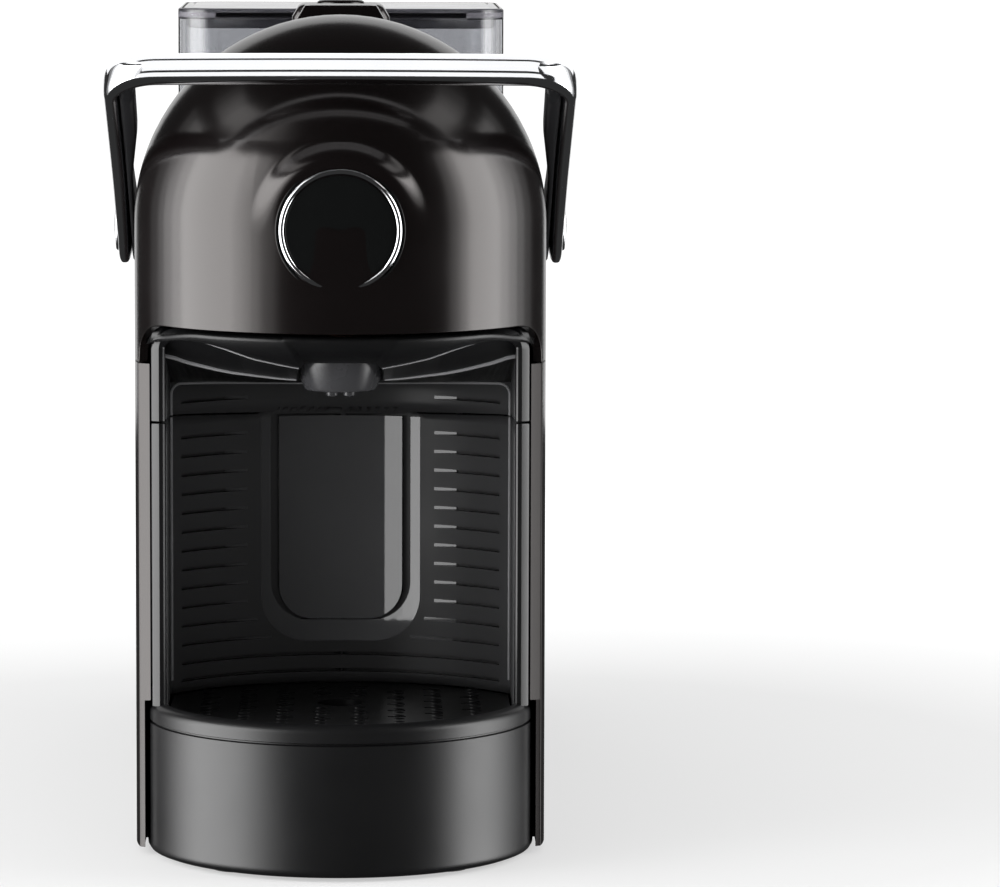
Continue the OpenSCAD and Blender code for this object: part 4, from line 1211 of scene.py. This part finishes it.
@dataclass
class Roof:
    """The hatch tab's cap, the console's cap and the brew button."""

    arch_z: float = 169.5
    radius: float = 57.0

    def cap(self, name: str, body: str, depths: tuple[float, float],
            stops: Sequence[tuple[float, float, float]]) -> None:
        """Make a rounded cap that sits on the roof's barrel.

        Args:
            name: the piece's name.
            body: the body it rides on.
            depths: its front and back at the foot.
            stops: half width, height and inset of each ring above the foot.
        """
        middle, half = (depths[0] + depths[1]) / 2, (depths[1] - depths[0]) / 2
        foot = stops[0][0] + 0.3
        rings = [[(a, middle + b, self.arch_z + sqrt(self.radius ** 2 - a * a) + 0.05)
                  for a, b in section(2 * foot, 2 * half, 9.0, 64)]]
        for wide, high, inset in stops:
            rings.append([(a, middle + b, high) for a, b in
                          section(2 * wide, 2 * (half - inset), 9.0, 64)])
        shaper = Shaper()
        shaper.loft(rings)
        shaper.tidy()
        shaper.finish(name, GLOSS_BLACK, body, sharp=50.0)

    def build(self) -> None:
        """Make both caps and the button."""
        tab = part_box("capsule_hatch")
        front = (tab[0].y - FRONT_Y) / MM
        self.cap("hatch_tab", "hatch", (front - 0.2, front + 20.6),
                 [(12.6, 229.4, 0.1), (11.3, 231.6, 0.3), (10.9, 232.4, 0.7),
                  (10.3, 233.0, 1.2), (9.2, 233.4, 2.2)])
        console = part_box("button_console")
        end = (console[1].y - FRONT_Y) / MM
        start = (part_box("brew_button")[0].y - FRONT_Y) / MM - 4.2
        self.cap("console_cap", "casing", (start, end + 0.3),
                 [(14.3, 229.0, 0.1), (13.0, 231.2, 0.3), (12.5, 232.0, 0.7),
                  (11.8, 232.5, 1.2), (10.6, 232.75, 2.2)])
        low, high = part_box("brew_button")
        depth = ((low.y + high.y) / 2 - FRONT_Y) / MM
        shaper = Shaper()
        dome = [(0.0, 228.0), (6.4, 228.0), (6.95, 229.0), (7.0, 232.9), (6.8, 233.4),
                (6.2, 233.75), (5.5, 233.9), (5.2, 233.7), (4.9, 233.85), (3.5, 234.15),
                (0.0, 234.3)]
        shaper.revolve([(r, depth, z) for r, z in dome], (0, depth, 0), (0, 0, 1), 56)
        shaper.tidy()
        shaper.finish("brew_button_dome", GLOSS_BLACK, "button", ["brew_button"],
                      sharp=50.0)


def rounded(half: tuple[float, float], corner: float, middle: float, z: float
            ) -> list[Point]:
    """Return a level rectangle with rounded corners.

    Args:
        half: half its width and half its depth.
        corner: the corners' radius.
        middle: the depth of its middle.
        z: its height.

    Returns:
        Its points in order.
    """
    points = []
    for cx, cy, turn in ((1, 1, 0), (-1, 1, 90), (-1, -1, 180), (1, -1, 270)):
        for t in spread(turn, turn + 90, 8):
            points.append((cx * (half[0] - corner) + corner * cos(radians(t)),
                           middle + cy * (half[1] - corner) + corner * sin(radians(t)),
                           z))
    return points


@dataclass
class Tank:
    """The clear water tank and its smoky lid."""

    wall: float = 2.2
    corner: float = 12.0
    lid_z: float = 225.3

    def stack(self, profile: Sequence[tuple[float, float]], half: tuple[float, float],
              middle: float, least: float) -> Shaper:
        """Pile up rounded rectangles.

        Args:
            profile: inset and height of each rectangle.
            half: half the width and half the depth without an inset.
            middle: the depth of the middle.
            least: the smallest corner radius.

        Returns:
            The shaper that holds the closed skin.
        """
        shaper = Shaper()
        shaper.loft([rounded((half[0] - inset, half[1] - inset),
                             max(self.corner - inset, least), middle, z)
                     for inset, z in profile])
        shaper.tidy()
        return shaper

    def build(self) -> None:
        """Make the tank and the lid."""
        low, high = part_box("water_tank")
        half = ((high.x - low.x) / 2 / MM, (high.y - low.y) / 2 / MM)
        middle = ((low.y + high.y) / 2 - FRONT_Y) / MM
        z0, z1 = low.z / MM, high.z / MM
        wall = self.wall
        tank = ((3.0, z0), (1.4, z0 + 0.4), (0.4, z0 + 1.4), (0.0, z0 + 3.0),
                (0.0, 120.0), (0.0, z1 - 0.5), (0.5, z1), (wall - 0.4, z1),
                (wall, z1 - 0.5), (wall, 120.0), (wall, z0 + 4.4),
                (wall + 1.0, z0 + 3.0), (wall + 3.0, z0 + 2.4))
        self.stack(tank, half, middle, 1.0).finish("tank_shell", CLEAR, "tank",
                                                   ["water_tank"], sharp=50.0)
        low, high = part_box("tank_lid")
        half = ((high.x - low.x) / 2 / MM, half[1])
        z0, z1 = self.lid_z, high.z / MM
        lid = ((5.2, z0 - 2.6), (4.8, z0 - 2.8), (3.4, z0 - 2.8), (3.0, z0 - 2.4),
               (3.0, z0), (0.7, z0), (0.0, z0 + 0.6), (0.0, z1 - 1.2), (0.35, z1 - 0.4),
               (1.2, z1), (3.2, z1), (3.5, z1 - 0.25), (4.0, z1 - 0.25), (4.3, z1))
        self.stack(lid, half, middle, 2.0).finish("lid_plate", SMOKE, "lid",
                                                  ["tank_lid"], sharp=50.0)


@dataclass
class Dressing:
    """Finishes for the CAD nodes that keep their own shapes."""

    wear: tuple[tuple[Finish, tuple[str, ...]], ...] = (
        (SATIN_BLACK, ("rear_cover", "base_plate", "tank_dock", "drip_grid",
                       "drip_tray", "cord_gland", "pump_bracket")),
        (GLOSS_BLACK, ("capsule_hatch", "button_console", "brew_button")),
        (BAY_GREY, ("capsule_bin", "capsule_chute", "slot_guide", "button_switch")),
        (RUBBER, ("rubber_feet", "dock_seal", "pump_mounts", "head_seal")),
        (STEEL, ("rear_screws", "frame_screws", "lever_shafts", "hatch_pin",
                 "follower_pins", "cam_plates", "thermostat", "pressure_tube",
                 "lid_pins", "injector_tube")),
        (SILICONE, ("outlet_tube", "feed_tube", "piston_seal")),
        (CLEAR, ("water_tank",)),
        (SMOKE, ("tank_lid",)),
        (ACETAL, ("lever_bushings", "flow_meter", "tank_valve", "piston_carriage",
                  "extraction_head")),
        (CAST, ("brew_frame", "thermoblock")),
        (BRASS, ("heater_terminals",)),
        (VARNISH, ("pump_body",)),
        (BOARD, ("control_board",)),
    )

    def build(self) -> None:
        """Put each finish on its nodes."""
        for finish, names in self.wear:
            for name in names:
                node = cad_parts[name]
                node.data.materials.clear()
                node.data.materials.append(finish.material())
                log.info("%s wears %s", name, finish.name)


@dataclass
class Softbox:
    """A soft light that stands on a circle round the machine."""

    name: str
    start: float
    end: float
    low: float
    high: float
    glow: float
    reach: float = 0.8

    def build(self) -> bpy.types.Object:
        """Set up the light.

        Returns:
            The light's object.
        """
        middle = radians((self.start + self.end) / 2)
        size = (2 * self.reach * tan(radians(abs(self.end - self.start)) / 2),
                self.high - self.low)
        away = Vector((sin(middle), -cos(middle), 0.0))
        place = away * self.reach + Vector((0, 0, (self.low + self.high) / 2))
        return area_light(self.name, size, self.glow, place, away)


@dataclass
class Studio:
    """Camera, floor, sky and soft lights."""

    camera_x: float = 0.00105
    camera_y: float = -1.6225
    camera_z: float = 0.2761
    tilt: float = 6.136
    yaw: float = 1.641
    roll: float = 0.175
    focal: float = 196.7
    sensor: float = 36.0
    lever_glow: float = 1.3

    def camera(self) -> None:
        """Set up the camera."""
        data = bpy.data.cameras.new("camera")
        data.sensor_width, data.lens = self.sensor, self.focal
        camera = bpy.data.objects.new("camera", data)
        bpy.context.scene.collection.objects.link(camera)
        camera.location = (self.camera_x, self.camera_y, self.camera_z)
        aim = Euler((radians(90 - self.tilt), 0, -radians(self.yaw))).to_matrix()
        turn = Matrix.Rotation(radians(self.roll), 3, "Z")
        camera.rotation_euler = (aim @ turn).to_euler()
        bpy.context.scene.camera = camera

    def floor(self) -> None:
        """Lay the pale floor, its glow dimmed near the machine as a painted soft shadow.
        """
        shaper = bmesh.new()
        bmesh.ops.create_grid(shaper, x_segments=1, y_segments=1, size=16)
        mesh = bpy.data.meshes.new("floor")
        shaper.to_mesh(mesh)
        shaper.free()
        floor = bpy.data.objects.new("floor", mesh)
        bpy.context.scene.collection.objects.link(floor)
        material = bpy.data.materials.new("paper_white_painted_shadow")
        material.use_nodes = True
        tree = material.node_tree
        tree.nodes.clear()
        place = add_node(tree, "ShaderNodeTexCoord", {}, {})
        reach = add_node(tree, "ShaderNodeVectorMath", {"operation": "LENGTH"},
                         {0: (place, "Object")})
        # Glow rises from 0.5 within 0.22 m of the middle to 0.9 past 0.6 m: a painted
        # shadow round the machine.
        glow = add_node(tree, "ShaderNodeMapRange",
                        {"in:From Min": 0.22, "in:From Max": 0.6, "in:To Min": 0.5,
                         "in:To Max": 0.9}, {"Value": (reach, "Value")})
        shader = add_node(tree, "ShaderNodeBsdfPrincipled",
                          {"in:Base Color": (0.3, 0.3, 0.3, 1), "in:Roughness": 0.9,
                           "in:Specular IOR Level": 0.0,
                           "in:Emission Color": (1, 1, 1, 1)},
                          {"Emission Strength": (glow, 0)})
        add_node(tree, "ShaderNodeOutputMaterial", {}, {"Surface": (shader, 0)})
        mesh.materials.append(material)
        floor.visible_glossy = False
        floor.visible_shadow = False

    def sky(self) -> None:
        """Give a white surround that the glossy shells hardly mirror."""
        world = bpy.data.worlds.new("studio")
        bpy.context.scene.world = world
        world.use_nodes = True
        tree = world.node_tree
        tree.nodes.clear()
        rays = add_node(tree, "ShaderNodeLightPath", {}, {})
        plain = add_node(tree, "ShaderNodeMath", {"operation": "MAXIMUM"},
                         {0: (rays, "Is Camera Ray"), 1: (rays, "Is Transmission Ray")})
        soft = add_node(tree, "ShaderNodeMath", {"operation": "MULTIPLY", "in:1": 0.72},
                        {0: (rays, "Is Diffuse Ray")})
        level = add_node(tree, "ShaderNodeMath", {"operation": "MAXIMUM"},
                         {0: (plain, 0), 1: (soft, 0)})
        floor = add_node(tree, "ShaderNodeMath", {"operation": "MAXIMUM", "in:1": 0.035},
                         {0: (level, 0)})
        glow = add_node(tree, "ShaderNodeBackground", {"in:Color": (1, 1, 1, 1)},
                        {"Strength": (floor, 0)})
        add_node(tree, "ShaderNodeOutputWorld", {}, {"Surface": (glow, 0)})

    def lights(self) -> None:
        """Stand the soft lights round the machine."""
        steps = {
            "left": [(-30, -38, 1.0), (-38, -46, 3.0), (-46, -54, 5.4),
                     (-54, -90, 6.7), (-90, -97, 4.2), (-97, -104, 2.4),
                     (-104, -112, 1.0), (-112, -122, 0.25)],
            "right": [(54, 60, 1.2), (60, 66, 3.2), (66, 90, 6.0), (90, 97, 4.0),
                      (97, 104, 2.4), (104, 114, 1.1), (114, 124, 0.3)],
        }
        boxes = [Softbox("back_panel", 155, 205, 0.0, 0.9, 0.8, reach=1.0)]
        for side, strips in steps.items():
            for number, (start, end, glow) in enumerate(strips):
                boxes.append(Softbox(f"{side}_{number}", start, end, -0.36, 0.68, glow))
                boxes.append(Softbox(f"{side}_{number}_top", start, end, 0.84, 1.2,
                                     glow * 0.25))
        for box in boxes:
            box.build()

    def lever_lights(self) -> None:
        """Light the chromed lever alone."""
        group = receivers("lever_lit", ("lever_casting", "pivot_domes"))
        target = Vector((0, FRONT_Y, 0.21))
        for name, place, size in (
                ("lever_front", (0.0, -1.1, 0.45), (1.3, 0.6)),
                ("lever_front_top", (0.0, -0.75, 0.95), (1.3, 0.7)),
                ("lever_above", (0.0, 0.6, 1.1), (2.6, 2.2)),
                ("lever_left", (-1.0, -0.75, 0.5), (0.7, 0.9)),
                ("lever_right", (1.0, -0.75, 0.5), (0.7, 0.9)),
                ("lever_front_low", (0.0, -0.9, -0.3), (1.2, 0.5))):
            light = area_light(name, size, self.lever_glow, place,
                               Vector(place) - target)
            light.light_linking.receiver_collection = group

    def bay_light(self) -> None:
        """Stand the light that only the bay's polished parts mirror."""
        light = Softbox("bay_strip", -21.5, -62, -0.5, 0.6, 4.6).build()
        light.light_linking.receiver_collection = receivers("bay_lit", (
            "tongue_panel", "tongue_band", "slot_floors", "canopy_slot_floors"))

    def build(self) -> None:
        """Set the studio up."""
        self.camera()
        self.floor()
        self.sky()
        self.lights()
        bpy.context.scene.view_settings.view_transform = "Standard"


def main() -> None:
    """Build the studio and every sub-assembly in order."""
    logging.basicConfig(level=logging.INFO, format="%(message)s")
    studio = Studio()
    studio.build()
    for part in (Hood(), SidePanels(), Drawer(), Canopy(), Lever(), Badge(), Roof(),
                 Tank(), Dressing()):
        part.build()
    studio.lever_lights()
    studio.bay_light()


if __name__ == "__main__":
    main()
